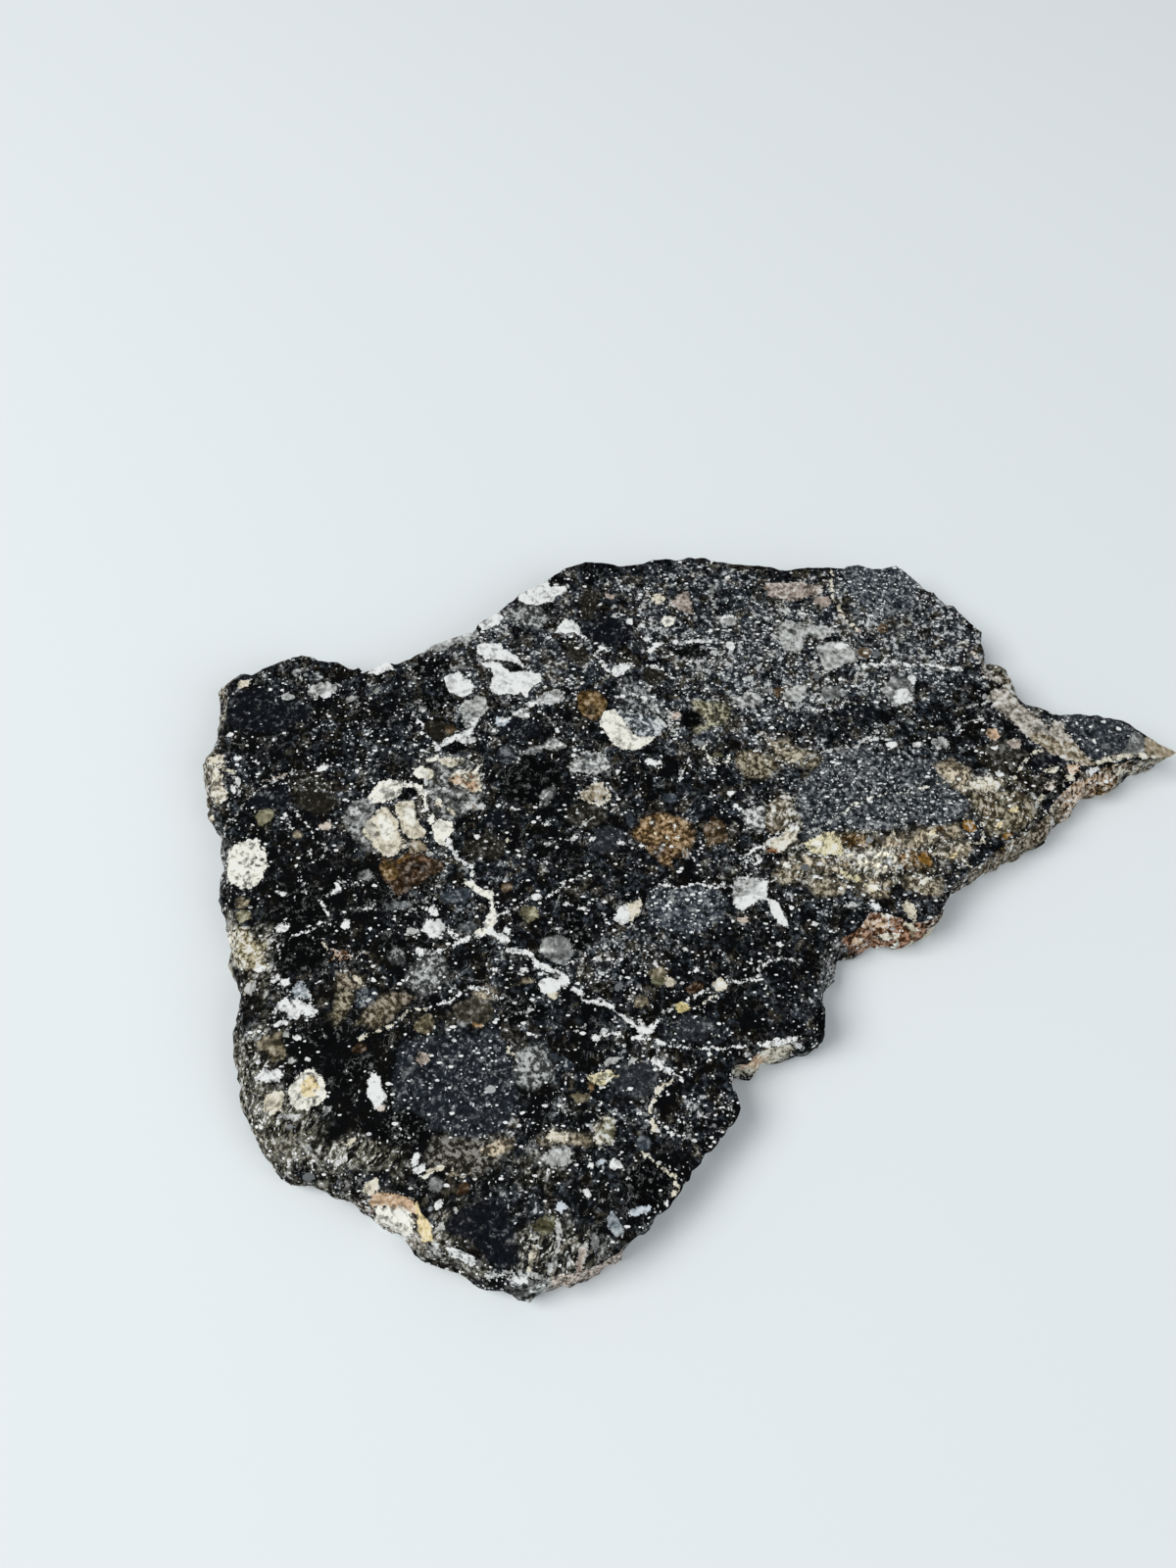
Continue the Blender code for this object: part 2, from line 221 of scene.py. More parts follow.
    (11.9, 0.9, 0.9, 0.4, 30, "ivory", 0.6), (13.0, -0.2, 0.8, 0.4, 40, "cream", 0.8),
    (15.3, 2.3, 0.9, 0.35, 40, "cream", 0.8), (17.2, 2.7, 0.8, 0.35, 40, "butter", 0.8),
    (16.2, -0.9, 0.8, 0.4, 30, "cream", 0.8), (12.6, -1.5, 0.9, 0.4, 20, "ivory", 0.7),
    (18.4, 1.1, 0.7, 0.35, 45, "butter", 0.7), (14.9, 0.9, 0.9, 0.6, 20, "gold", 0.8),
    (17.9, 3.0, 0.8, 0.5, 20, "honey", 0.8), (21.4, 4.6, 1.2, 0.6, 60, "honey", 0.9),
    (23.3, 4.6, 0.8, 0.4, 45, "butter", 0.8), (21.9, 3.4, 0.7, 0.35, 45, "butter", 0.7),
    (5.9, 4.3, 0.8, 0.5, 50, "ivory", 0.8), (6.7, 5.1, 0.7, 0.4, 40, "cream", 0.8),
    (4.6, 3.9, 0.8, 0.5, 40, "white", 0.8), (8.9, 1.9, 1.1, 0.6, 20, "ivory", 0.3),
    # lower left
    (-28.5, -4.5, 1.1, 0.7, 25, "white", 0.45), (-28.7, -1.9, 0.6, 0.15, -20, "white", 0.0),
    (-25.0, -1.7, 0.7, 0.5, 30, "pale", 0.3), (-24.0, -4.2, 0.6, 0.75, 0, "white", 0.0),
    (-23.4, -5.4, 0.2, 0.2, 0, "white", 0.0), (-29.9, -8.7, 0.8, 0.9, 0, "pale", 0.35),
    (-28.4, -8.3, 0.4, 0.3, 0, "white", 0.1), (-27.6, -8.4, 0.75, 0.5, 25, "white", 0.05),
    
    
    (-27.8, -11.2, 0.4, 0.45, 0, "white", 0.05), (-27.3, -11.2, 0.35, 0.25, -20, "white", 0.0),
    (-27.15, -11.9, 0.35, 0.6, 10, "pale", 0.1), (-26.5, -12.0, 0.45, 0.3, 0, "white", 0.1),
    (-28.1, -10.4, 0.25, 0.5, 0, "white", 0.1), (-28.7, -13.6, 0.4, 0.3, 20, "white", 0.1),
    (-26.6, -13.6, 0.5, 0.5, 0, "pale", 0.1), (-25.6, -13.5, 0.35, 0.3, 0, "white", 0.1),
    
    (-27.4, -16.2, 1.2, 1.5, 20, "cream", 0.4), (-28.2, -18.1, 0.9, 0.8, 0, "cream", 0.5),
    (-20.95, -15.5, 1.05, 2.0, 18, "white", 0.1), (-20.4, -16.5, 0.5, 0.4, 0, "pink", 0.3),
    (-24.0, -16.8, 0.8, 0.5, 20, "grey", 0.4), (-26.2, -17.1, 1.0, 0.6, 0, "pale", 0.5),
    (-29.5, -7.4, 1.0, 0.5, 10, "white", 0.4), (-22.9, -8.1, 0.95, 0.35, -35, "cream", 0.1),
    (-18.1, -4.5, 1.5, 1.5, 0, "white", 0.18), (-18.1, -3.3, 0.7, 0.7, 0, "white", 0.3),
    (-19.4, -4.7, 0.8, 0.6, 0, "pale", 0.3), (-17.4, -4.5, 0.5, 0.5, 0, "pale", 0.3),
    (-18.2, -19.7, 0.45, 0.8, 10, "white", 0.1), (-17.8, -20.3, 0.75, 0.6, 20, "white", 0.1),
    (-22.3, -18.6, 0.8, 0.4, 10, "cream", 0.3), (-20.8, -21.4, 0.9, 0.9, 0, "cream", 0.3),
    (-16.5, -22.4, 0.35, 0.5, 0, "white", 0.1), (-15.4, -22.8, 0.35, 0.3, 0, "pale", 0.1),
    (-16.3, -23.6, 0.6, 0.5, 0, "pale", 0.4), (-18.1, -13.5, 0.9, 0.85, 20, "rose", 0.5),
    # lower middle
    (-14.2, -4.55, 0.9, 0.6, -15, "white", 0.15), (-12.9, -4.6, 0.4, 0.55, 0, "white", 0.1),
    (-13.2, -5.2, 0.9, 0.6, -30, "white", 0.25), (-15.7, -5.4, 1.0, 0.45, 10, "white", 0.25),
    (-9.9, -8.5, 1.5, 1.1, 10, "white", 0.2), (-9.2, -8.2, 0.9, 0.7, 0, "white", 0.3),
    (-9.7, -9.2, 0.8, 0.6, 0, "cream", 0.5), (-11.7, -7.45, 0.6, 0.5, 0, "white", 0.15),
    (-10.4, -7.7, 0.45, 0.25, 0, "white", 0.0), (-13.7, -7.45, 0.5, 0.3, 0, "white", 0.1),
    (-11.0, -2.2, 0.7, 0.65, 0, "white", 0.1), (-9.4, -2.5, 0.25, 0.55, 0, "white", 0.0),
    (-6.2, -2.5, 0.4, 0.25, 0, "white", 0.1), (-3.8, -11.4, 0.9, 0.8, 20, "white", 0.35),
    (-3.0, -13.6, 0.6, 0.6, 0, "white", 0.1), (-6.3, -11.8, 0.5, 0.4, 0, "white", 0.1),
    (-5.8, -13.6, 0.9, 0.5, 15, "pale", 0.35), (-4.5, -13.6, 0.7, 0.5, 25, "pale", 0.35),
    (-1.2, -10.0, 0.95, 0.8, 0, "yellow", 0.15), (0.5, -13.2, 0.3, 0.28, 0, "white", 0.0),
    (-0.8, -6.0, 0.28, 0.25, 0, "white", 0.0), (-0.2, -7.4, 0.28, 0.25, 0, "white", 0.0),
    (-5.6, -20.0, 0.8, 0.6, 0, "white", 0.1), (-6.5, -19.9, 0.6, 0.35, 10, "blue", 0.2),
    (-7.2, -20.1, 0.28, 0.4, 0, "white", 0.0), (-4.8, -20.9, 0.2, 0.2, 0, "white", 0.0),
    (-7.5, -21.8, 0.55, 0.5, 0, "white", 0.1), (-9.8, -22.9, 0.2, 0.3, 0, "white", 0.0),
    (-9.0, -22.6, 0.65, 0.5, 0, "blue", 0.3), 
    (-4.2, -22.8, 1.3, 0.6, 10, "blue", 0.2), (-2.7, -22.5, 0.25, 0.25, 0, "white", 0.0),
    (-7.7, -25.3, 0.65, 1.1, 0, "pale", 0.4), (-7.0, -24.6, 0.6, 0.9, 0, "grey", 0.4),
    
    
    (-9.4, -18.4, 1.4, 1.0, 0, "cream", 0.7), (-9.3, -19.6, 1.8, 1.5, 0, "pale", 0.65),
    (-6.1, -18.0, 1.3, 1.7, 0, "sage", 0.8), (-3.0, -18.2, 0.25, 0.25, 0, "white", 0.0),
    (-2.1, -18.3, 0.25, 0.25, 0, "white", 0.0), (-1.2, -18.3, 0.3, 0.25, 0, "white", 0.0),
]

BRIGHT_SHAPES = [
    # colour, grain, outline
    # left end
    ("cream", 0.75, [(-35.3, 8.0), (-34.6, 8.2), (-34.2, 7.6), (-33.8, 6.6), (-33.5, 5.9),
                     (-33.9, 5.2), (-34.3, 5.0), (-34.8, 5.6), (-35.3, 6.8)]),
    ("cream", 0.60, [(-35.6, 9.2), (-34.4, 9.2), (-34.0, 8.6), (-34.6, 8.3), (-35.6, 8.4)]),
    ("ivory", 0.60, [(-33.0, 1.5), (-32.4, 1.9), (-31.8, 2.1), (-31.0, 2.3), (-30.6, 1.9),
                     (-30.1, 1.4), (-29.95, 0.6), (-30.0, -0.2), (-30.2, -0.9), (-30.9, -1.4),
                     (-31.6, -1.5), (-32.3, -1.2), (-32.7, -0.6), (-33.0, 0.0), (-33.2, 0.8)]),
    ("white", 0.45, [(-24.4, 17.3), (-23.6, 17.5), (-22.6, 17.3), (-22.3, 16.8), (-23.2, 16.3),
                     (-24.2, 16.2)]),
    # the big white group and the speckled clast beside it
    ("cream", 0.40, [(-22.3, 4.8), (-21.8, 4.7), (-21.4, 4.2), (-21.1, 3.6), (-20.9, 3.0),
                     (-20.6, 2.5), (-20.3, 2.0), (-20.3, 1.6), (-20.7, 1.2), (-21.4, 0.9),
                     (-22.0, 1.1), (-22.5, 1.6), (-22.8, 2.0), (-23.3, 2.3), (-23.7, 2.7),
                     (-23.4, 3.2), (-22.9, 3.9)]),
    ("cream", 0.35, [(-21.2, 4.9), (-20.9, 5.3), (-20.2, 5.4), (-19.9, 5.1), (-19.8, 4.6),
                     (-19.6, 4.0), (-19.3, 3.6), (-19.0, 3.0), (-19.1, 2.4), (-19.6, 2.1),
                     (-20.1, 2.2), (-20.5, 2.6), (-20.8, 3.1), (-21.1, 3.7), (-21.2, 4.3)]),
    ("ivory", 0.35, [(-23.0, 6.3), (-22.6, 6.9), (-21.8, 7.0), (-21.0, 6.6), (-21.0, 5.9),
                     (-21.4, 5.4), (-22.0, 5.2), (-22.7, 5.0), (-23.3, 5.0), (-23.5, 5.4)]),
    ("ivory", 0.10, [(-18.5, 3.3), (-18.1, 3.7), (-17.2, 3.7), (-17.0, 3.1), (-17.3, 2.5),
                     (-17.6, 1.9), (-18.0, 1.8), (-18.2, 2.4)]),
    ("sand", 0.35, [(-20.1, 1.9), (-19.5, 2.1), (-18.9, 2.0), (-18.7, 1.4), (-19.3, 1.1),
                    (-20.0, 1.2)]),
    ("cream", 0.35, [(-20.1, 7.6), (-19.9, 8.1), (-19.3, 8.3), (-18.8, 7.9), (-18.7, 7.3),
                     (-19.2, 7.1), (-19.8, 7.2)]),
    ("ivory", 0.35, [(-19.6, 8.4), (-19.1, 8.9), (-18.4, 9.2), (-18.2, 8.9), (-18.8, 8.5)]),
    ("cream", 0.65, [(-18.4, 8.7), (-17.6, 9.0), (-16.6, 8.8), (-16.2, 8.4), (-17.0, 8.2),
                     (-17.9, 8.1)]),
    ("cream", 0.80, [(-17.4, 7.6), (-16.4, 7.9), (-15.4, 8.0), (-15.1, 7.2), (-15.1, 6.2),
                     (-15.8, 5.9), (-16.6, 6.2), (-17.2, 6.8)]),
    # far upper left
    ("white", 0.06, [(-18.4, 15.9), (-17.9, 16.3), (-17.3, 16.4), (-17.0, 15.9), (-16.4, 15.6),
                     (-16.0, 15.0), (-16.2, 14.5), (-17.0, 14.4), (-17.9, 14.5), (-18.1, 15.0)]),
    ("white", 0.04, [(-15.7, 17.5), (-15.0, 17.4), (-14.2, 17.2), (-13.8, 16.8), (-13.4, 16.4),
                     (-12.8, 16.4), (-12.0, 16.5), (-11.2, 16.3), (-11.0, 15.8), (-11.6, 15.2),
                     (-11.9, 14.7), (-12.1, 14.2), (-12.5, 14.5), (-13.0, 14.3), (-14.0, 14.3),
                     (-14.8, 14.7), (-15.0, 15.3), (-14.8, 16.0), (-14.8, 16.6), (-15.2, 17.1)]),
    ("white", 0.12, [(-16.1, 18.7), (-15.6, 19.1), (-15.0, 19.1), (-14.4, 19.1), (-13.9, 18.7),
                     (-13.4, 18.2), (-12.8, 17.8), (-12.4, 17.2), (-11.9, 16.6), (-12.6, 17.1),
                     (-13.2, 17.4), (-14.4, 17.6), (-15.2, 17.7), (-15.9, 18.1)]),
    ("white", 0.22, [(-13.0, 24.0), (-12.2, 24.4), (-11.3, 25.1), (-10.6, 25.2), (-10.3, 24.8),
                     (-9.2, 24.5), (-9.1, 24.0), (-9.9, 23.6), (-10.2, 23.0), (-10.9, 23.0),
                     (-11.6, 22.7), (-12.4, 22.8), (-13.1, 23.3)]),
    ("white", 0.35, [(-16.0, 20.9), (-15.2, 21.6), (-14.4, 22.2), (-14.1, 21.5), (-14.7, 20.7),
                     (-15.6, 20.3)]),
    ("pale", 0.50, [(-20.0, 18.8), (-19.0, 19.5), (-18.0, 19.8), (-17.0, 20.3), (-15.9, 20.6),
                    (-15.9, 19.7), (-17.0, 19.3), (-18.0, 18.9), (-18.6, 18.4), (-19.6, 18.5)]),
    ("white", 0.12, [(-9.3, 21.4), (-8.5, 21.3), (-8.0, 20.8), (-7.9, 20.1), (-8.6, 20.1),
                     (-9.2, 20.0), (-9.9, 20.1), (-9.7, 20.7)]),
    ("white", 0.40, [(-5.7, 16.4), (-5.4, 17.0), (-4.6, 17.3), (-4.0, 17.2), (-4.2, 16.6),
                     (-4.8, 16.1), (-5.3, 15.9)]),
    ("pale", 0.65, [(-11.6, 13.5), (-11.0, 14.4), (-9.8, 14.9), (-9.0, 14.6), (-9.1, 13.9),
                    (-10.2, 13.4)]),
    ("pale", 0.65, [(-17.6, 10.3), (-16.9, 10.7), (-16.5, 11.3), (-16.2, 12.3), (-16.2, 12.9),
                    (-15.4, 12.9), (-15.6, 12.0), (-15.9, 11.0), (-16.6, 10.3)]),
    # the big cream clast and the streaky one below it
    ("ivory", 0.20, [(-6.6, 12.1), (-6.3, 12.9), (-5.9, 13.1), (-5.2, 13.1), (-4.9, 12.5),
                     (-4.6, 11.7), (-4.2, 11.0), (-3.4, 10.7), (-2.6, 10.9), (-2.2, 10.7),
                     (-2.6, 10.2), (-3.2, 9.8), (-4.0, 9.6), (-4.7, 9.6), (-5.3, 9.9),
                     (-5.7, 10.5), (-6.1, 11.2), (-6.5, 11.7)]),
    ("steel", 0.95, [(-5.2, 13.0), (-4.6, 12.8), (-4.0, 12.7), (-3.2, 12.7), (-2.6, 12.8),
                     (-2.1, 12.4), (-1.9, 11.9), (-1.9, 11.3), (-2.2, 10.7), (-3.0, 10.6),
                     (-3.8, 10.8), (-4.4, 11.4), (-4.7, 12.2)]),
    ("pale", 0.85, [(-8.9, 8.2), (-8.4, 8.8), (-8.0, 9.2), (-7.3, 9.5), (-6.6, 9.4),
                    (-6.1, 9.0), (-5.8, 8.4), (-6.0, 7.8), (-6.4, 7.5), (-7.2, 7.3),
                    (-8.0, 7.4), (-8.7, 7.7)]),
    ("sand", 0.65, [(-8.1, 6.1), (-7.6, 6.4), (-7.0, 6.7), (-6.2, 6.8), (-6.1, 6.3),
                    (-5.8, 5.9), (-6.2, 5.6), (-6.4, 5.2), (-7.0, 5.2), (-7.7, 5.5)]),
    # middle and right
    ("pale", 0.65, [(2.9, -0.9), (4.2, -0.7), (4.9, -0.9), (5.2, -1.0), (5.15, -2.0),
                    (5.0, -2.4), (4.4, -2.4), (3.8, -2.6), (3.3, -3.1), (2.7, -3.0),
                    (2.5, -2.2)]),
    ("white", 0.10, [(2.6, -2.2), (3.6, -2.0), (4.3, -1.6), (4.9, -0.9), (5.25, -0.9),
                     (5.2, -2.0), (5.0, -2.5), (4.4, -2.4), (3.8, -2.7), (3.3, -3.2),
                     (2.7, -3.0)]),
    ("white", 0.10, [(5.1, -2.4), (5.7, -2.5), (6.0, -3.1), (6.4, -3.7), (6.3, -4.2),
                     (5.7, -4.1), (5.3, -3.4)]),
    ("white", 0.10, [(-5.6, -3.7), (-5.3, -3.0), (-4.8, -2.5), (-4.5, -2.8), (-4.4, -3.7),
                     (-4.7, -4.0), (-5.2, -4.0)]),
    ("cream", 0.40, [(-4.8, -2.5), (-4.2, -2.4), (-3.7, -2.2), (-3.7, -3.0), (-3.9, -3.5),
                     (-4.4, -3.9), (-4.6, -3.2)]),
    ("lemon", 0.80, [(7.8, 2.0), (8.6, 2.4), (9.6, 2.9), (10.4, 2.7), (10.5, 1.9),
                     (10.9, 1.4), (10.4, 1.0), (9.4, 0.9), (8.6, 1.1), (8.1, 1.5)]),
    ("cream", 0.85, [(5.1, 1.9), (6.0, 2.7), (6.9, 3.3), (7.9, 3.3), (7.2, 2.6), (7.5, 2.2),
                     (6.8, 1.8), (6.5, 1.3), (5.8, 1.2)]),
    ("tan", 0.90, [(5.3, 2.8), (5.2, 4.2), (5.8, 5.2), (6.9, 5.9), (7.6, 5.6), (7.4, 4.4),
                     (7.9, 3.5), (6.9, 3.4), (6.1, 2.8)]),
    ("pale", 0.95, [(3.9, 3.0), (3.8, 4.2), (4.3, 4.9), (5.2, 4.9), (5.3, 3.6), (4.9, 3.0)]),
    ("pale", 0.70, [(3.4, 14.4), (4.2, 14.3), (5.0, 14.7), (5.6, 14.5), (5.6, 13.9),
                    (5.0, 13.4), (4.2, 13.2), (3.7, 13.6)]),
    # upper right
    ("rose", 0.45, [(0.4, 24.2), (-1.0, 22.9), (0.0, 22.1), (0.9, 21.7), (0.8, 23.0)]),
    ("rose", 0.55, [(6.6, 24.6), (8.0, 24.9), (9.4, 25.1), (11.4, 24.7), (11.2, 23.9),
                    (10.0, 23.5), (8.2, 23.2), (7.0, 23.6)]),
    ("pale", 0.50, [(7.6, 20.4), (8.2, 21.3), (9.4, 21.0), (11.4, 20.6), (12.2, 20.2),
                    (11.0, 19.6), (9.8, 19.9), (9.4, 18.9), (8.8, 18.2), (7.9, 18.4),
                    (7.4, 19.3)]),
    ("pale", 0.40, [(10.2, 18.7), (11.2, 19.2), (12.4, 19.3), (13.4, 18.6), (13.3, 17.4),
                    (12.2, 17.2), (11.4, 16.8), (10.9, 16.2), (10.6, 17.3)]),
    ("grey", 0.50, [(10.0, 14.2), (10.6, 15.2), (11.8, 15.3), (12.3, 14.6), (11.2, 14.0)]),
    ("pale", 0.50, [(7.4, 13.8), (7.7, 14.8), (8.8, 15.1), (9.2, 14.4), (8.6, 13.6)]),
    # right end
    ("shell", 0.55, [(22.9, 14.2), (23.3, 14.9), (24.5, 14.9), (25.0, 14.2), (25.3, 13.5),
                    (26.0, 12.9), (26.5, 12.2), (27.0, 11.5), (27.5, 12.3), (28.1, 12.0),
                    (28.2, 11.0), (28.7, 10.0), (29.3, 9.3), (30.0, 8.2), (29.2, 8.1),
                    (28.0, 8.7), (26.6, 9.4), (25.6, 10.3), (24.6, 11.4), (23.9, 12.6)]),
    ("sand", 0.70, [(25.5, 10.5), (26.4, 9.6), (27.6, 9.0), (29.2, 8.2), (29.9, 8.3),
                     (29.2, 9.3), (28.5, 10.1), (27.8, 10.3), (26.8, 10.9), (26.0, 11.1)]),
    ("sand", 0.25, [(33.7, 10.6), (34.3, 10.7), (35.2, 10.1), (36.6, 9.7), (36.4, 8.8),
                    (35.0, 8.8), (33.9, 9.1)]),
    ("grey", 0.35, [(31.4, 8.9), (32.6, 9.8), (33.0, 10.6), (33.4, 11.4), (34.0, 10.9),
                    (33.8, 9.8), (33.9, 9.0)]),
    ("cream", 0.90, [(20.0, 6.2), (20.6, 7.1), (22.0, 7.4), (22.6, 6.7), (22.2, 6.0),
                     (21.2, 5.9)]),
    ("pale", 0.60, [(18.1, 10.5), (18.9, 10.6), (19.6, 10.2), (19.2, 9.6), (18.4, 9.6)]),
    # lower left
    ("buff", 0.95, [(-31.8, -5.2), (-31.2, -4.2), (-30.6, -4.6), (-30.0, -5.2), (-29.4, -5.3),
                    (-29.1, -5.9), (-29.3, -6.6), (-28.8, -7.2), (-29.2, -7.6), (-30.2, -7.6),
                    (-31.2, -6.9), (-31.7, -6.0)]),
    ("white", 0.15, [(-27.9, -9.7), (-27.4, -9.3), (-27.1, -9.6), (-26.7, -9.4),
                     (-26.3, -9.7), (-25.6, -9.9), (-25.3, -10.2), (-25.9, -10.5),
                     (-26.3, -10.4), (-26.5, -10.9), (-27.1, -10.8), (-27.2, -10.4),
                     (-27.7, -10.3), (-27.9, -10.0)]),
    ("steel", 0.70, [(-27.2, -9.0), (-26.9, -8.4), (-26.3, -8.4), (-25.9, -8.9),
                     (-25.6, -9.6), (-26.3, -9.5), (-26.8, -9.3)]),
    ("white", 0.35, [(-28.9, -14.7), (-28.4, -14.1), (-27.5, -14.0), (-27.0, -14.4),
                     (-27.2, -14.9), (-28.1, -15.0)]),
    ("ivory", 0.35, [(-26.6, -15.5), (-26.3, -14.8), (-25.8, -14.3), (-25.2, -14.2),
                     (-24.6, -14.6), (-24.2, -15.3), (-24.2, -16.0), (-24.7, -16.5),
                     (-25.4, -16.7), (-26.1, -16.5), (-26.5, -16.1)]),
    ("butter", 0.30, [(-25.9, -15.0), (-25.4, -14.6), (-24.9, -14.7), (-24.7, -15.3),
                      (-25.0, -15.8), (-25.6, -15.8)]),
    # bottom
    ("steel", 0.35, [(-6.5, -23.3), (-6.0, -22.9), (-5.5, -23.6), (-5.1, -24.1),
                     (-5.6, -24.4), (-6.2, -24.0)]),
    ("cream", 0.90, [(-7.1, -17.6), (-6.4, -17.1), (-5.7, -17.3), (-5.6, -18.2),
                     (-6.3, -18.9), (-7.0, -18.6)]),
    ("lemon", 0.80, [(-7.5, -14.8), (-7.0, -14.3), (-6.2, -14.2), (-5.6, -14.3),
                     (-5.3, -14.7), (-6.0, -14.9), (-6.8, -15.2), (-7.2, -15.1)]),
]

MIDDLE = [
    (-30.7, 4.0, 1.35, 1.35, 0, "sage", 0.2), 
    (-28.1, 2.6, 0.7, 0.6, 0, "tan", 0.4), (-29.8, 16.5, 0.8, 0.7, 0, "grey", 0.5),
    
    
    
    
    (15.6, 20.6, 0.8, 1.0, 0, "brown", 0.4),
    (14.1, 18.3, 0.9, 0.9, 0, "brown", 0.4), (16.1, 15.7, 0.7, 1.2, 20, "tan", 0.4),
    (7.2, 14.5, 1.0, 1.0, 0, "brown", 0.4), 
    (8.5, 19.8, 0.45, 0.5, 0, "brown", 0.2), 
    (-13.3, 9.2, 1.9, 1.7, 0, "coal", 0.5),
    
    (-10.3, 5.8, 0.9, 1.4, -35, "grey", 0.7), 
    (-7.5, 4.1, 3.0, 2.0, 0, "umber", 0.3), (-1.9, 2.8, 4.2, 2.5, -3, "ochre", 0.9),
    (-1.9, 1.5, 2.6, 1.2, -10, "ochre", 1.0), (-1.8, 0.6, 0.8, 0.9, 0, "ochre", 0.9),
    (1.7, 2.9, 1.6, 2.2, 0, "brown", 0.8), (-4.3, 3.8, 0.6, 1.0, 0, "slate", 0.4),
    (-1.4, 5.5, 1.3, 0.9, 0, "slate", 0.3), 
    
    (22.7, 6.9, 0.5, 0.8, 0, "tan", 0.3), (23.4, 9.4, 2.6, 2.4, 0, "umber", 0.4),
    (-31.3, -2.6, 1.1, 0.8, 0, "tan", 0.6),
    (-31.0, -3.5, 1.0, 0.8, 0, "sage", 0.5), (-28.4, -12.4, 1.0, 0.9, 10, "tan", 0.4),
    (-27.6, -12.0, 0.7, 0.6, 0, "tan", 0.3), (-27.4, -13.1, 0.8, 0.6, 0, "tan", 0.5),
    (-23.7, -9.9, 1.2, 2.2, -15, "drab", 0.9),
    (-22.2, -12.9, 0.9, 0.6, 0, "rust", 0.6),
    
    (-18.1, -11.2, 1.4, 1.3, 0, "drab", 0.7), (-18.9, -14.2, 1.2, 0.5, 50, "smoke", 0.3),
    (-20.6, -2.7, 1.7, 0.6, 5, "smoke", 0.4), (-22.9, -0.5, 1.0, 0.8, 0, "grey", 0.6),
    (-20.4, -6.3, 0.9, 1.0, 0, "grey", 0.9),
    (-11.5, -3.5, 1.3, 1.2, -20, "sage", 0.5), (-13.1, -1.5, 0.8, 0.7, 0, "brown", 0.5),
    (-9.5, -6.0, 2.1, 2.0, 0, "grey", 0.35), (-10.2, -5.9, 0.8, 1.1, -30, "pale", 0.2),
    (-11.5, -8.3, 1.0, 0.5, 10, "tan", 0.6), (-15.6, -4.4, 1.4, 0.9, 0, "smoke", 0.5),
    (-2.7, -7.7, 1.3, 0.8, 0, "tan", 0.6), (-2.7, -8.2, 0.9, 0.6, 0, "olive", 0.3),
    (-1.9, -8.2, 0.7, 0.6, 0, "cream", 0.4), (-3.8, -9.7, 0.9, 0.6, 10, "tan", 0.5),
    (-0.3, -8.7, 1.3, 0.8, 15, "rust", 0.8), (-14.7, -11.1, 0.7, 0.6, 0, "ochre", 0.4),
    (-15.6, -10.9, 0.8, 0.8, 0, "grey", 0.5), (-15.0, -10.2, 2.7, 1.9, 0, "clay", 0.5),
    (-14.2, -9.1, 1.7, 0.8, 0, "tan", 0.9), (-11.0, -14.0, 2.3, 2.7, 0, "grey", 1.0),
    (-7.1, -15.1, 0.5, 0.6, 0, "ochre", 0.3),
    (-7.8, -15.9, 1.0, 0.65, 0, "drab", 0.15), (-9.9, -23.6, 1.7, 0.9, 5, "olive", 0.45),
    
    (-15.0, -21.6, 0.8, 0.8, 0, "rust", 0.2), (-7.8, -18.6, 1.3, 0.6, -10, "tan", 0.6),
    (-3.9, -18.9, 0.8, 1.0, 0, "slate", 0.4), (-16.7, -21.3, 0.9, 0.7, 10, "grey", 0.2),
    
    
    
    
    
]

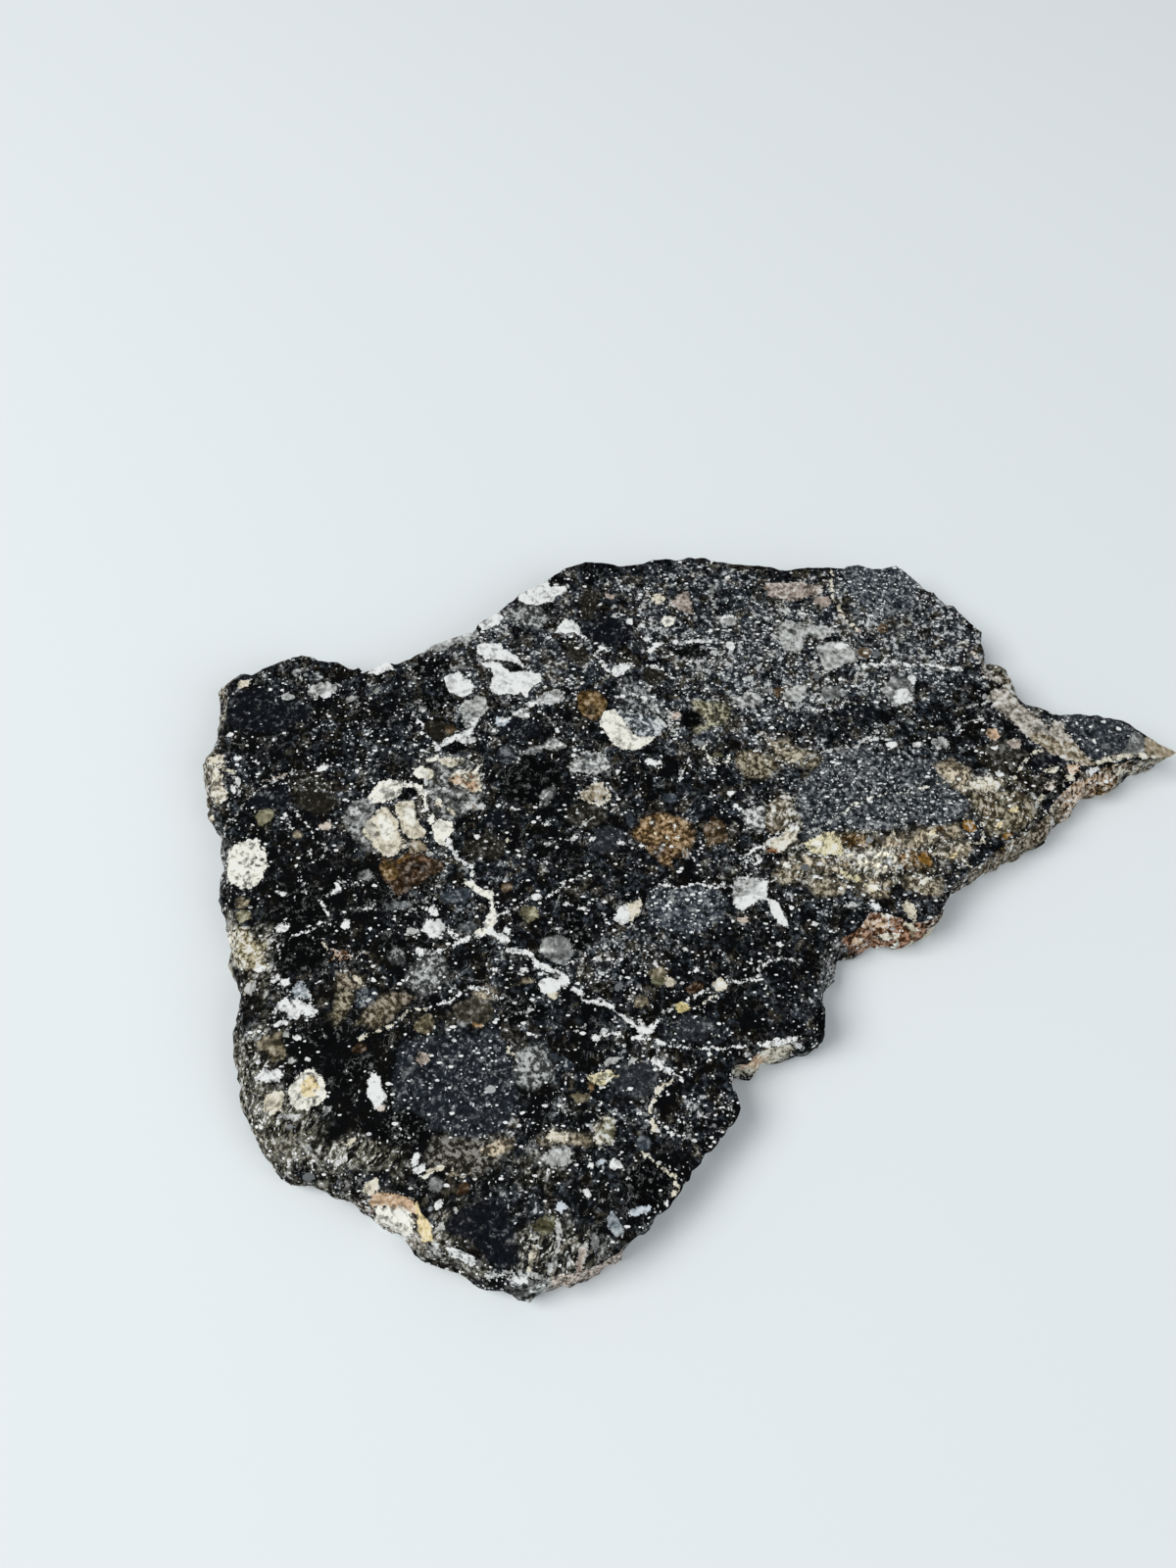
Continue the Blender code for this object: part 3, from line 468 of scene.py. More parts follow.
MIDDLE_SHAPES = [
    ("rust", 0.78, [(-21.9, 0.9), (-20.8, 0.7), (-20.3, 1.2), (-19.9, 1.4), (-19.2, 1.2),
                    (-18.4, 0.9), (-17.6, 0.5), (-17.5, 0.0), (-18.2, -0.5), (-18.9, -0.9),
                    (-19.5, -1.4), (-20.3, -1.9), (-21.0, -1.8), (-21.3, -1.2), (-21.7, -0.6),
                    (-22.0, -0.1)]),
    ("honey", 0.78, [(-21.9, 0.5), (-21.3, 0.8), (-20.9, 0.3), (-20.6, -0.3), (-20.9, -0.9),
                     (-21.4, -0.8), (-21.9, -0.2)]),
    ("grey", 0.85, [(-24.8, 4.9), (-23.6, 5.4), (-22.8, 5.0), (-22.6, 3.0), (-22.3, 1.4),
                    (-23.2, 1.4), (-24.2, 2.4), (-24.8, 3.6)]),
    ("grey", 0.90, [(-19.4, 7.0), (-19.8, 8.2), (-18.9, 9.0), (-17.6, 9.1), (-16.4, 8.9),
                   (-15.6, 8.3), (-15.0, 7.4), (-14.9, 6.2), (-15.4, 5.2), (-16.2, 4.4),
                   (-17.2, 3.9), (-18.2, 4.0), (-18.7, 4.8), (-19.0, 5.8)]),
    ("umber", 0.30, [(-19.9, 11.7), (-19.4, 12.1), (-18.4, 12.0), (-17.6, 11.9), (-17.2, 11.4),
                     (-17.5, 10.6), (-18.2, 10.2), (-18.9, 10.5), (-19.6, 11.0)]),
    ("brown", 0.45, [(-18.0, 11.7), (-17.5, 11.8), (-17.2, 11.3), (-17.6, 10.8), (-18.0, 11.1)]),
    ("smoke", 0.95, [(-5.2, 15.6), (-4.2, 15.6), (-3.2, 14.8), (-2.2, 14.0), (-1.6, 13.0),
                     (-1.4, 11.9), (-1.9, 12.6), (-2.6, 12.9), (-3.6, 12.9), (-4.6, 13.6)]),
    ("honey", 0.80, [(-8.2, 14.2), (-7.8, 14.7), (-7.2, 14.8), (-6.6, 14.6), (-6.1, 14.1),
                     (-6.0, 13.5), (-6.2, 12.9), (-6.6, 12.4), (-7.2, 12.2), (-7.8, 12.5),
                     (-8.1, 13.1), (-8.2, 13.6)]),
    ("sage", 1.00, [(0.3, 13.8), (1.0, 14.0), (1.6, 13.7), (2.6, 13.6), (3.3, 13.2),
                    (3.2, 12.2), (2.8, 11.6), (2.0, 11.5), (1.2, 11.3), (0.8, 11.0),
                    (0.7, 11.4), (1.6, 11.9), (1.2, 12.5), (0.7, 13.2)]),
    ("pale", 0.75, [(-10.9, 9.7), (-10.3, 10.5), (-9.9, 10.6), (-9.3, 10.2), (-8.9, 10.1),
                    (-9.2, 9.7), (-10.0, 9.5)]),
    ("grey", 0.70, [(-12.4, 9.2), (-11.8, 9.8), (-11.0, 9.9), (-10.9, 9.4), (-11.7, 9.1)]),
    ("grey", 1.00, [(-14.2, 22.3), (-12.8, 22.6), (-11.4, 22.5), (-10.4, 21.6), (-11.2, 20.6),
                    (-12.6, 20.9), (-13.8, 21.1)]),
    ("tan", 1.00, [(6.0, 10.4), (7.6, 10.3), (8.3, 9.5), (9.4, 9.2), (9.9, 8.6), (9.0, 8.0),
                   (8.0, 8.2), (7.0, 8.6), (6.2, 9.2)]),
    ("drab", 1.00, [(3.7, 9.2), (4.9, 9.5), (6.2, 8.8), (6.8, 7.8), (5.4, 7.2), (4.2, 7.4),
                    (3.6, 8.2)]),
    ("sand", 1.00, [(18.0, 8.4), (19.2, 8.6), (20.4, 8.0), (20.8, 6.8), (20.3, 5.8),
                    (19.6, 6.2), (18.9, 6.9), (18.4, 7.5)]),
    ("drab", 1.00, [(20.3, 5.9), (22.2, 6.0), (23.9, 6.1), (24.8, 5.2), (24.6, 4.0),
                    (23.6, 3.2), (22.4, 2.6), (21.2, 2.6), (20.8, 3.8), (20.4, 5.0)]),
    ("dun", 0.90, [(-24.2, -7.7), (-23.3, -7.6), (-22.4, -8.0), (-22.3, -8.7), (-23.2, -8.8),
                   (-24.2, -8.7)]),
    ("dun", 0.90, [(-22.6, -11.2), (-21.9, -10.2), (-21.0, -9.4), (-19.8, -9.1),
                    (-19.0, -9.4), (-19.8, -10.0), (-20.4, -10.8), (-21.4, -11.5)]),
    ("grey", 1.00, [(-19.9, -8.3), (-19.4, -7.4), (-19.0, -6.7), (-18.2, -6.5), (-17.2, -6.5),
                    (-16.8, -7.4), (-17.0, -8.4), (-17.8, -8.9), (-18.8, -8.9)]),
    ("drab", 0.80, [(-29.0, -12.2), (-28.4, -11.9), (-27.8, -12.2), (-27.0, -12.7),
                   (-27.0, -13.5), (-27.8, -13.6), (-28.1, -12.9), (-28.8, -12.8)]),
    ("clay", 0.95, [(-18.0, -19.9), (-17.0, -18.6), (-15.4, -18.4), (-14.0, -18.5),
                     (-12.6, -18.2), (-12.2, -19.2), (-13.2, -20.2), (-14.4, -20.8),
                     (-16.0, -20.4)]),
    ("sand", 1.00, [(-14.2, -19.2), (-13.0, -18.5), (-12.2, -18.4), (-12.2, -19.1),
                    (-13.2, -19.6)]),
    ("tan", 1.00, [(-10.6, -18.6), (-9.6, -17.9), (-8.2, -18.2), (-6.8, -18.4), (-7.2, -18.9),
                   (-8.6, -18.8), (-9.8, -19.0)]),
    # the broad pale and rusty patch on the right, piece by piece
    ("sand", 1.00, [(7.5, 1.2), (8.3, 0.8), (9.4, 0.7), (10.6, 0.8), (11.2, 0.2),
                    (10.4, -0.4), (9.0, -0.3), (7.8, 0.1)]),
    ("cream", 1.00, [(10.9, 1.0), (12.4, 1.5), (14.0, 1.2), (14.4, 0.4), (13.2, -0.3),
                     (11.9, 0.0)]),
    ("honey", 0.95, [(10.4, 2.6), (11.8, 2.7), (12.9, 2.2), (12.6, 1.7), (11.2, 1.6),
                     (10.6, 1.9)]),
    ("sand", 1.00, [(12.9, 2.4), (14.2, 2.6), (15.9, 2.8), (17.6, 3.3), (18.9, 3.4),
                    (19.2, 2.4), (17.6, 2.2), (16.4, 1.6), (14.8, 1.7), (13.4, 1.6)]),
    ("honey", 1.00, [(14.3, 1.2), (15.6, 1.5), (16.9, 1.2), (16.6, 0.2), (15.4, -0.2),
                     (14.5, 0.3)]),
    ("sand", 1.00, [(17.4, 1.2), (18.8, 1.9), (19.8, 1.8), (19.3, 0.9), (18.2, 0.6)]),
    ("tan", 1.00, [(5.6, -0.6), (6.3, 0.6), (7.2, 0.9), (7.7, 0.2), (7.4, -0.8),
                     (6.4, -1.2)]),
    ("sand", 1.00, [(11.2, -0.6), (12.8, -0.7), (13.9, -1.0), (13.4, -2.0), (12.2, -2.1),
                    (11.3, -1.5)]),
    ("tan", 1.00, [(14.6, -0.6), (16.0, -0.5), (17.4, -0.9), (17.2, -2.0), (15.9, -2.0),
                   (14.8, -1.5)]),
    ("tan", 1.00, [(7.9, -0.9), (9.6, -0.8), (10.8, -1.2), (10.0, -1.9), (8.5, -2.0)]),
]

DARK = [
    (-31.6, 13.0, 6.2, 4.0, 0, "navy", 0.1), (-12.3, 11.4, 3.2, 1.9, 10, "navy", 0.15),
    (-17.3, 9.8, 1.7, 1.0, 0, "black", 0.1), (-5.7, 20.2, 4.0, 2.5, 0, "navy", 0.15),
    (16.0, 24.5, 6.0, 5.0, -30, "slate", 0.8), (0.6, 18.3, 2.6, 1.1, 0, "black", 0.1),
    (11.5, 19.4, 1.4, 0.8, 10, "black", 0.0), (13.1, 12.7, 2.8, 1.4, 0, "navy", 0.2),
    (-4.3, -14.9, 3.5, 2.3, -10, "coal", 0.2),
    (-13.0, 16.9, 1.8, 1.0, 50, "black", 0.0), (-16.5, -2.0, 2.2, 0.9, 10, "slate", 0.3),
    (-3.6, -21.3, 3.2, 2.6, 0, "black", 0.1), (-8.2, 18.2, 1.5, 1.9, 0, "umber", 0.1),
    (-7.3, 23.0, 1.4, 3.0, 0, "umber", 0.15), (-2.4, 16.2, 1.6, 1.8, 0, "umber", 0.1),
    (-14.7, 1.6, 3.0, 2.0, 0, "umber", 0.2), (-27.0, 5.4, 2.8, 2.4, 0, "umber", 0.15),
    (-27.6, 7.0, 2.4, 1.9, 0, "umber", 0.5), (-30.4, 5.6, 3.0, 2.0, 20, "navy", 0.15),
    (0.4, 12.2, 1.6, 1.8, 0, "black", 0.1), (3.9, 8.1, 0.9, 0.9, 0, "navy", 0.1),
    (-18.9, 13.5, 2.6, 1.2, 20, "black", 0.3), (-19.4, 17.0, 2.6, 2.0, 20, "black", 0.25),
    (-22.8, -14.2, 3.4, 1.8, 20, "black", 0.15), (-24.6, -11.9, 2.6, 1.3, 30, "black", 0.2),
    (22.8, 8.9, 2.8, 2.2, 0, "umber", 0.3), (26.3, 8.5, 2.6, 1.3, 25, "navy", 0.2),
    (-19.0, -17.9, 3.0, 2.2, 0, "black", 0.3), (6.6, 5.4, 1.2, 1.0, 30, "umber", 0.3),
    (-22.2, -9.4, 1.6, 1.4, 0, "slate", 0.7), (22.4, 13.4, 2.0, 0.9, 20, "black", 0.2),
    (-20.4, 6.0, 1.0, 0.7, 0, "black", 0.0), (-19.4, 4.9, 0.9, 1.8, 20, "clay", 0.6), (-14.0, 3.8, 1.9, 1.7, 0, "navy", 0.2),
    (-6.0, 2.2, 2.6, 1.8, 20, "coal", 0.3), (-27.0, -2.8, 4.0, 2.8, 0, "black", 0.15),
    (-26.8, -6.4, 3.6, 3.0, 0, "black", 0.1), (8.2, -11.0, 1.4, 1.6, 0, "black", 0.2),
    (-20.6, -5.6, 1.6, 0.9, 0, "black", 0.1), (-8.2, -5.0, 1.8, 2.6, 20, "black", 0.2),
    (-0.5, -11.4, 2.4, 1.8, 0, "coal", 0.3), (-11.6, -10.5, 2.8, 1.4, 10, "black", 0.2),
]

DARK_SHAPES = [
    ("iron", 0.9, [(9.9, 9.3), (11.5, 9.5), (13.0, 10.0), (14.0, 9.3), (17.0, 9.0),
                   (18.3, 8.2), (19.0, 6.8), (20.0, 5.5), (19.8, 4.2), (18.0, 3.3),
                   (16.0, 3.6), (14.0, 3.0), (11.0, 3.1), (8.5, 2.4), (7.3, 2.2),
                   (8.0, 3.3), (7.6, 4.5), (8.0, 6.5), (9.0, 7.5), (9.6, 8.5)]),
    ("ash", 0.40, [(-19.5, -12.4), (-17.0, -11.9), (-14.0, -12.0), (-12.6, -12.2),
                   (-12.2, -13.5), (-12.0, -15.0), (-11.7, -16.5), (-12.3, -17.5),
                   (-13.5, -18.2), (-16.0, -18.2), (-18.5, -17.8), (-19.8, -17.0),
                   (-20.0, -15.0), (-19.8, -13.4)]),
    ("slate", 0.8, [(-3.2, -1.9), (-2.4, -1.4), (-0.7, -1.4), (0.4, -1.3), (1.5, -1.6),
                    (2.2, -2.4), (2.0, -3.8), (1.0, -4.6), (-0.5, -4.8), (-2.0, -4.6),
                    (-3.0, -4.0), (-3.3, -3.0)]),
    ("navy", 0.05, [(-16.0, -23.2), (-15.4, -22.8), (-14.2, -22.6), (-12.6, -22.5),
                    (-12.0, -23.4), (-11.6, -24.6), (-11.5, -26.0), (-12.6, -26.2),
                    (-13.4, -25.6), (-14.3, -24.4), (-15.6, -24.2), (-16.2, -24.0)]),
    ("black", 0.05, [(-12.8, 8.6), (-11.0, 8.7), (-9.6, 8.4), (-9.1, 7.8), (-9.4, 7.2),
                     (-10.0, 6.3), (-10.9, 5.2), (-12.3, 5.1), (-13.5, 5.8),
                     (-13.8, 6.8), (-13.2, 7.8)]),
    ("iron", 0.6, [(27.8, 12.7), (31.0, 12.6), (33.0, 11.8), (33.9, 11.0), (33.0, 10.0),
                    (31.5, 9.2), (30.0, 8.7), (29.2, 9.7), (28.5, 11.0), (28.0, 12.0)]),
]

# ---- veins: colour, width, points

VEINS = [
    ("cream", 0.22, [(-35.4, 8.5), (-33.9, 7.9), (-32.9, 7.4)]),
    ("pale", 0.13, [(-33.4, 3.4), (-32.7, 4.3), (-32.2, 5.2), (-31.5, 6.1), (-30.8, 6.7),
                   (-30.0, 7.1), (-29.2, 7.3), (-28.9, 7.7)]),
    ("pink", 0.20, [(-31.2, 6.9), (-30.2, 7.1), (-29.5, 7.4)]),
    ("grey", 0.12, [(-28.2, 6.05), (-26.6, 6.1), (-25.6, 6.0)]),
    ("white", 0.16, [(-29.0, 3.3), (-28.7, 3.1), (-28.4, 2.8)]),
    ("white", 0.16, [(-27.6, 3.5), (-27.3, 3.2), (-27.1, 2.8)]),
    ("ivory", 0.42, [(-22.2, 6.9), (-21.2, 6.8), (-20.3, 6.6), (-19.7, 6.3), (-19.3, 5.6),
                     (-19.1, 4.9), (-18.7, 4.2), (-18.4, 3.5)]),
    ("pale", 0.16, [(-16.2, 9.0), (-15.5, 8.3), (-15.0, 7.4), (-14.9, 6.4), (-14.95, 6.0)]),
    ("pale", 0.22, [(-24.4, 4.4), (-23.6, 4.9), (-22.9, 5.4)]),
    ("pale", 0.10, [(-27.1, 1.5), (-26.6, 2.0), (-26.1, 1.7), (-25.9, 1.1), (-26.3, 0.6),
                    (-26.9, 0.7), (-27.1, 1.2), (-27.1, 1.5)]),
    ("white", 0.22, [(-25.1, -0.9), (-24.8, -1.5), (-25.4, -2.0)]),
    ("pale", 0.14, [(-24.6, -1.0), (-23.9, -1.2), (-23.4, -1.2)]),
    ("pale", 0.18, [(-13.1, 9.9), (-12.5, 9.3), (-12.7, 8.6)]),
    ("ember", 0.16, [(-24.9, -6.0), (-24.4, -6.3), (-24.0, -6.0), (-23.6, -6.5),
                     (-24.2, -6.7), (-24.7, -6.5), (-24.9, -6.0)]),
    ("ember", 0.14, [(-24.5, -6.0), (-24.2, -6.4), (-23.7, -6.2), (-23.3, -6.6)]),
    ("sand", 0.13, [(-23.3, -6.3), (-22.7, -6.2), (-22.2, -6.4)]),
    ("white", 0.17, [(-19.9, 11.9), (-19.8, 11.0), (-19.0, 10.4), (-18.5, 9.8)]),
    ("white", 0.55, [(-18.0, 10.1), (-17.2, 10.5), (-16.4, 11.0), (-16.0, 11.7)]),
    ("white", 0.40, [(-14.0, 12.1), (-13.1, 12.4), (-12.2, 13.1), (-11.6, 13.6),
                     (-10.6, 13.9)]),
    ("white", 0.40, [(-17.4, 2.4), (-17.1, 1.6), (-16.9, 1.1), (-16.4, 0.7), (-15.9, 0.3),
                     (-15.6, 0.05)]),
    ("white", 0.30, [(-15.6, -0.3), (-15.5, -0.8), (-15.6, -1.1)]),
    ("ivory", 0.55, [(-16.0, -1.1), (-15.4, -1.2), (-14.9, -1.5), (-14.4, -1.9),
                     (-14.2, -2.5), (-14.1, -3.2), (-13.8, -3.7), (-14.2, -4.1),
                     (-14.6, -4.6), (-14.9, -5.0)], 0.3),
    ("white", 0.34, [(-14.4, -4.3), (-13.8, -4.8), (-13.3, -5.3), (-12.9, -5.7),
                     (-12.9, -6.0), (-12.2, -6.05), (-11.6, -6.1), (-11.2, -6.5),
                     (-10.9, -6.8), (-10.9, -7.1), (-10.3, -7.3), (-9.6, -7.6),
                     (-9.2, -7.9), (-9.0, -8.3), (-8.5, -8.6), (-7.9, -8.9),
                     (-7.6, -9.2), (-7.7, -9.5), (-7.2, -9.7), (-6.5, -9.85),
                     (-5.8, -10.0), (-5.4, -10.4), (-5.0, -10.8), (-4.5, -11.1),
                     (-4.0, -11.3), (-3.9, -11.7), (-3.8, -12.0)], 0.3),
    ("white", 0.24, [(-18.9, -6.1), (-18.0, -6.2), (-17.2, -6.2), (-16.8, -6.0),
                     (-16.4, -5.7), (-16.0, -5.4), (-15.4, -5.2), (-14.8, -5.0)]),
    ("white", 0.22, [(-16.9, -4.5), (-16.5, -4.8), (-16.2, -5.1)]),
    ("white", 0.20, [(-13.7, -3.6), (-13.0, -3.2), (-12.5, -3.0), (-12.0, -2.7),
                     (-11.5, -2.5), (-11.1, -2.35), (-10.5, -2.3), (-9.9, -2.1),
                     (-9.5, -1.8), (-9.2, -1.5), (-8.9, -1.1), (-8.4, -0.9),
                     (-7.9, -0.7), (-7.5, -0.5), (-7.3, -0.3)]),
    ("white", 0.12, [(-13.2, -2.95), (-12.5, -2.9)]),
    ("white", 0.22, [(-8.9, -2.6), (-8.4, -2.8), (-7.9, -3.0), (-7.3, -3.2)]),
    ("white", 0.14, [(-6.6, -3.3), (-6.3, -3.5), (-6.0, -4.1)]),
    ("pale", 0.12, [(-4.1, -3.6), (-4.5, -4.3)]),
    ("white", 0.15, [(-7.8, -8.7), (-7.4, -8.4), (-7.0, -8.1), (-6.4, -7.8)]),
    ("white", 0.28, [(-4.5, -12.0), (-3.8, -12.0), (-3.2, -12.1), (-2.8, -12.2),
                     (-2.6, -12.5), (-2.7, -13.0), (-2.9, -13.6), (-2.6, -14.0),
                     (-2.2, -14.3), (-1.6, -14.6), (-1.3, -14.9)]),
    ("white", 0.16, [(-2.6, -12.4), (-2.0, -12.6), (-1.3, -12.7), (-0.5, -12.7),
                     (0.3, -12.8), (1.2, -12.9), (2.2, -12.7), (3.4, -12.5), (5.0, -12.5)]),
    ("cream", 0.30, [(-1.9, -14.9), (-2.4, -15.1), (-2.8, -15.5), (-3.0, -15.9),
                     (-3.4, -16.4), (-3.6, -16.9), (-3.4, -17.5), (-3.3, -18.0)]),
    ("white", 0.22, [(-3.8, -11.2), (-3.0, -11.4), (-2.7, -10.8), (-2.4, -10.3),
                     (-1.9, -10.1)]),
    ("white", 0.22, [(-7.0, -12.3), (-6.7, -12.0), (-6.2, -11.8), (-5.8, -11.9),
                     (-5.4, -12.0), (-5.2, -12.2)]),
    ("white", 0.18, [(-17.9, -10.1), (-17.0, -9.8), (-16.6, -9.8), (-16.2, -9.3),
                     (-15.9, -8.95), (-15.4, -8.65), (-14.8, -8.65), (-14.2, -8.75),
                     (-13.8, -9.1), (-13.3, -9.3), (-13.0, -9.4)]),
    ("cream", 0.15, [(-22.3, -12.3), (-21.8, -11.9), (-21.0, -11.6), (-20.4, -11.3),
                     (-20.0, -10.8), (-19.4, -10.3), (-18.6, -10.2), (-18.1, -10.2)]),
    ("pale", 0.13, [(-29.0, -5.3), (-28.4, -5.8), (-28.2, -6.3), (-28.4, -7.0),
                    (-28.3, -7.6), (-28.1, -8.1)]),
    ("white", 0.24, [(-27.9, -5.4), (-27.3, -5.0), (-26.5, -4.8), (-26.0, -4.5),
                     (-25.6, -4.1), (-25.0, -3.7)]),
    ("white", 0.18, [(-25.7, -2.6), (-25.5, -3.0), (-25.3, -3.4)]),
    ("white", 0.14, [(-27.2, -1.1), (-27.0, -1.5), (-26.9, -1.9)]),
    ("cream", 0.16, [(-25.4, -5.5), (-25.2, -5.9), (-25.1, -6.3)]),
    ("ochre", 0.14, [(-24.9, -6.9), (-24.6, -6.4), (-24.2, -6.6), (-23.8, -6.3),
                     (-23.3, -6.4)]),
    ("grey", 0.18, [(-19.8, -3.1), (-19.0, -2.8), (-18.4, -2.2)]),
    ("pale", 0.12, [(-23.2, -3.2), (-22.6, -3.1), (-22.0, -2.7)]),
    ("pale", 0.12, [(-22.9, -6.3), (-22.5, -6.2), (-22.2, -6.4)]),
    ("white", 0.12, [(-19.6, -8.2), (-19.0, -7.0), (-18.9, -6.5), (-18.5, -6.2)]),
    ("white", 0.12, [(-18.9, -7.4), (-17.9, -6.8), (-17.3, -7.4)]),
    ("white", 0.30, [(-8.9, 20.6), (-8.2, 20.0), (-7.4, 19.2), (-6.9, 18.2), (-6.5, 17.5),
                     (-5.9, 16.6), (-5.6, 16.2)]),
    ("white", 0.14, [(-6.7, 18.4), (-6.0, 18.3)]),
    ("pale", 0.20, [(-5.2, 15.5), (-3.8, 14.2), (-2.6, 13.3), (-2.0, 12.3), (-1.5, 11.6),
                    (-1.0, 11.0)]),
    ("cream", 0.26, [(12.2, 26.3), (12.1, 25.0), (12.0, 23.6), (12.5, 22.6), (12.9, 21.7),
                     (13.4, 20.9), (13.7, 20.3)]),
    ("white", 0.30, [(13.8, 17.1), (15.2, 17.2), (16.4, 17.4), (17.5, 17.1), (19.2, 17.1),
                     (20.2, 16.9), (21.2, 16.8)]),
    ("pale", 0.14, [(14.1, 12.0), (14.2, 11.2), (13.4, 10.4)]),
    ("pink", 0.22, [(22.3, 18.2), (22.8, 17.5), (22.9, 16.6), (23.3, 16.0)]),
    ("cream", 0.15, [(18.0, 6.7), (19.5, 6.8), (20.2, 6.3), (20.1, 5.6), (20.5, 4.7),
                     (20.9, 4.0), (20.8, 3.0), (20.7, 2.3), (21.2, 1.8)]),
    ("cream", 0.13, [(20.2, 6.3), (21.2, 6.3), (22.0, 6.7)]),
    ("ivory", 0.15, [(10.3, 4.0), (11.8, 4.9), (12.8, 5.5), (14.0, 5.9), (15.5, 6.1),
                     (16.6, 6.2), (17.5, 6.5), (18.2, 6.9)]),
    ("pale", 0.15, [(15.2, 6.1), (16.4, 6.5), (17.4, 7.0), (18.0, 7.3)]),
    ("pale", 0.22, [(8.0, 8.3), (9.0, 8.9), (9.8, 9.3), (11.0, 9.6), (12.0, 9.8),
                     (12.6, 10.1), (13.3, 10.6)]),
    ("pale", 0.18, [(7.4, 2.9), (8.5, 2.9), (9.3, 3.2), (10.0, 3.6), (10.9, 4.1)]),
    ("ivory", 0.42, [(1.3, 9.7), (1.3, 9.1), (1.7, 8.6), (2.3, 8.4), (2.9, 8.7), (3.05, 9.3)]),
    ("pale", 0.30, [(2.0, 24.5), (2.4, 23.3), (2.6, 22.7)]),
    ("white", 0.24, [(-2.9, 17.0), (-2.3, 17.05), (-1.8, 16.8), (-1.5, 16.3), (-1.1, 15.9)]),
    ("white", 0.26, [(-5.2, 21.9), (-4.7, 21.8), (-4.2, 21.5)]),
    ("pale", 0.28, [(-2.2, 13.6), (-1.9, 12.8), (-1.5, 12.2), (-1.2, 11.6), (-1.0, 11.1)]),
    ("pale", 0.24, [(20.2, 11.2), (20.6, 11.8), (21.5, 12.0), (22.4, 12.3), (23.0, 12.9),
                    (23.6, 13.6)]),
    ("pale", 0.16, [(20.9, 13.1), (22.0, 13.6), (23.1, 13.8)]),
    ("cream", 0.18, [(26.4, 9.4), (25.4, 9.1), (24.8, 8.7), (24.2, 7.9), (23.7, 7.2),
                     (22.8, 7.0)]),
    ("pale", 0.16, [(23.0, 6.1), (24.2, 6.3), (24.9, 5.8), (25.0, 4.9), (25.6, 4.3)]),
    ("cream", 0.40, [(30.0, 8.5), (31.5, 8.9), (33.0, 9.1), (34.4, 9.0)]),
    ("cream", 0.16, [(14.4, 3.0), (14.6, 2.2), (15.2, 1.5), (15.1, 0.6), (15.5, -0.1)]),
    ("cream", 0.16, [(16.0, 1.4), (16.8, 2.0), (17.6, 2.6), (18.6, 3.0)]),
    ("cream", 0.18, [(17.0, 0.9), (18.0, 1.3), (19.0, 1.7), (20.4, 2.0)]),
    ("cream", 0.15, [(18.9, 1.0), (19.2, 0.4), (19.6, 0.1)]),
    ("lemon", 0.40, [(10.5, -0.3), (11.3, -0.9), (12.2, -1.5), (12.8, -1.9)]),
    ("pale", 0.14, [(11.3, 13.0), (11.6, 13.6), (12.3, 13.9), (12.8, 13.6)]),
    ("cream", 0.35, [(-10.8, -26.4), (-10.7, -25.2), (-10.9, -24.2)]),
    ("pale", 0.30, [(-9.7, -26.4), (-9.3, -25.0), (-9.1, -23.3)]),
    ("pale", 0.30, [(-8.6, -26.0), (-8.4, -25.0)]),
    ("pink", 0.45, [(-7.8, -26.0), (-7.7, -25.0)]),
    ("pale", 0.45, [(-13.2, -26.5), (-12.0, -26.4), (-11.0, -26.6), (-9.8, -26.6)]),
    ("white", 0.20, [(7.6, 3.2), (6.5, 2.9), (5.8, 2.4), (5.2, 1.8), (4.8, 1.2),
                     (4.2, 0.6)]),
    ("white", 0.15, [(5.0, 1.9), (4.2, 1.2), (3.6, 0.9)]),
    ("white", 0.16, [(4.9, 0.7), (4.3, 0.2), (4.5, -0.1), (3.5, -0.9), (2.5, -1.6)]),
    ("white", 0.20, [(2.4, -1.6), (2.0, -1.1), (1.4, -1.4), (0.4, -1.3), (-0.7, -1.4),
                     (-1.5, -1.3), (-2.3, -1.4)]),
    ("white", 0.14, [(-3.2, -2.2), (-2.8, -1.9), (-2.5, -1.4), (-1.9, -1.0),
                     (-1.6, -0.6)]),
    ("white", 0.20, [(4.0, -7.9), (4.1, -7.2), (4.7, -6.8), (5.9, -6.5), (6.4, -6.8),
                     (7.3, -6.6)]),
    ("white", 0.18, [(1.0, -8.8), (2.0, -8.2), (4.2, -8.1)]),
    ("white", 0.22, [(-0.9, -9.5), (-0.2, -9.2), (0.4, -8.9), (1.0, -8.6)]),
    ("cream", 0.14, [(-0.2, -9.9), (0.5, -9.5), (1.2, -9.3)]),
    ("pale", 0.13, [(-12.8, -10.8), (-11.0, -10.1), (-10.0, -9.9)]),
    ("cream", 0.16, [(-12.5, -12.5), (-12.4, -13.0), (-12.1, -13.3)]),
    ("pale", 0.14, [(-9.0, -11.9), (-8.2, -11.7), (-7.5, -11.4)]),
    ("pale", 0.14, [(0.0, 9.3), (0.0, 8.8), (-0.2, 8.2), (-0.5, 7.6), (-0.7, 7.1)]),
    ("cream", 0.20, [(-8.1, 6.1), (-7.4, 6.6), (-6.5, 6.6), (-6.1, 6.4), (-5.8, 5.9),
                     (-6.1, 5.3), (-6.4, 5.0), (-7.3, 5.2), (-8.0, 5.6)]),
    ("white", 0.14, [(-6.3, 5.0), (-6.1, 4.7)]),
    ("white", 0.13, [(-9.0, 3.95), (-8.3, 4.1)]),
    ("white", 0.13, [(-8.2, 4.4), (-7.6, 4.5)]),
    ("pale", 0.15, [(-7.9, 3.2), (-7.1, 3.9)]),
    ("white", 0.25, [(-2.5, 1.2), (-2.2, 1.3), (-2.1, 1.8)]),
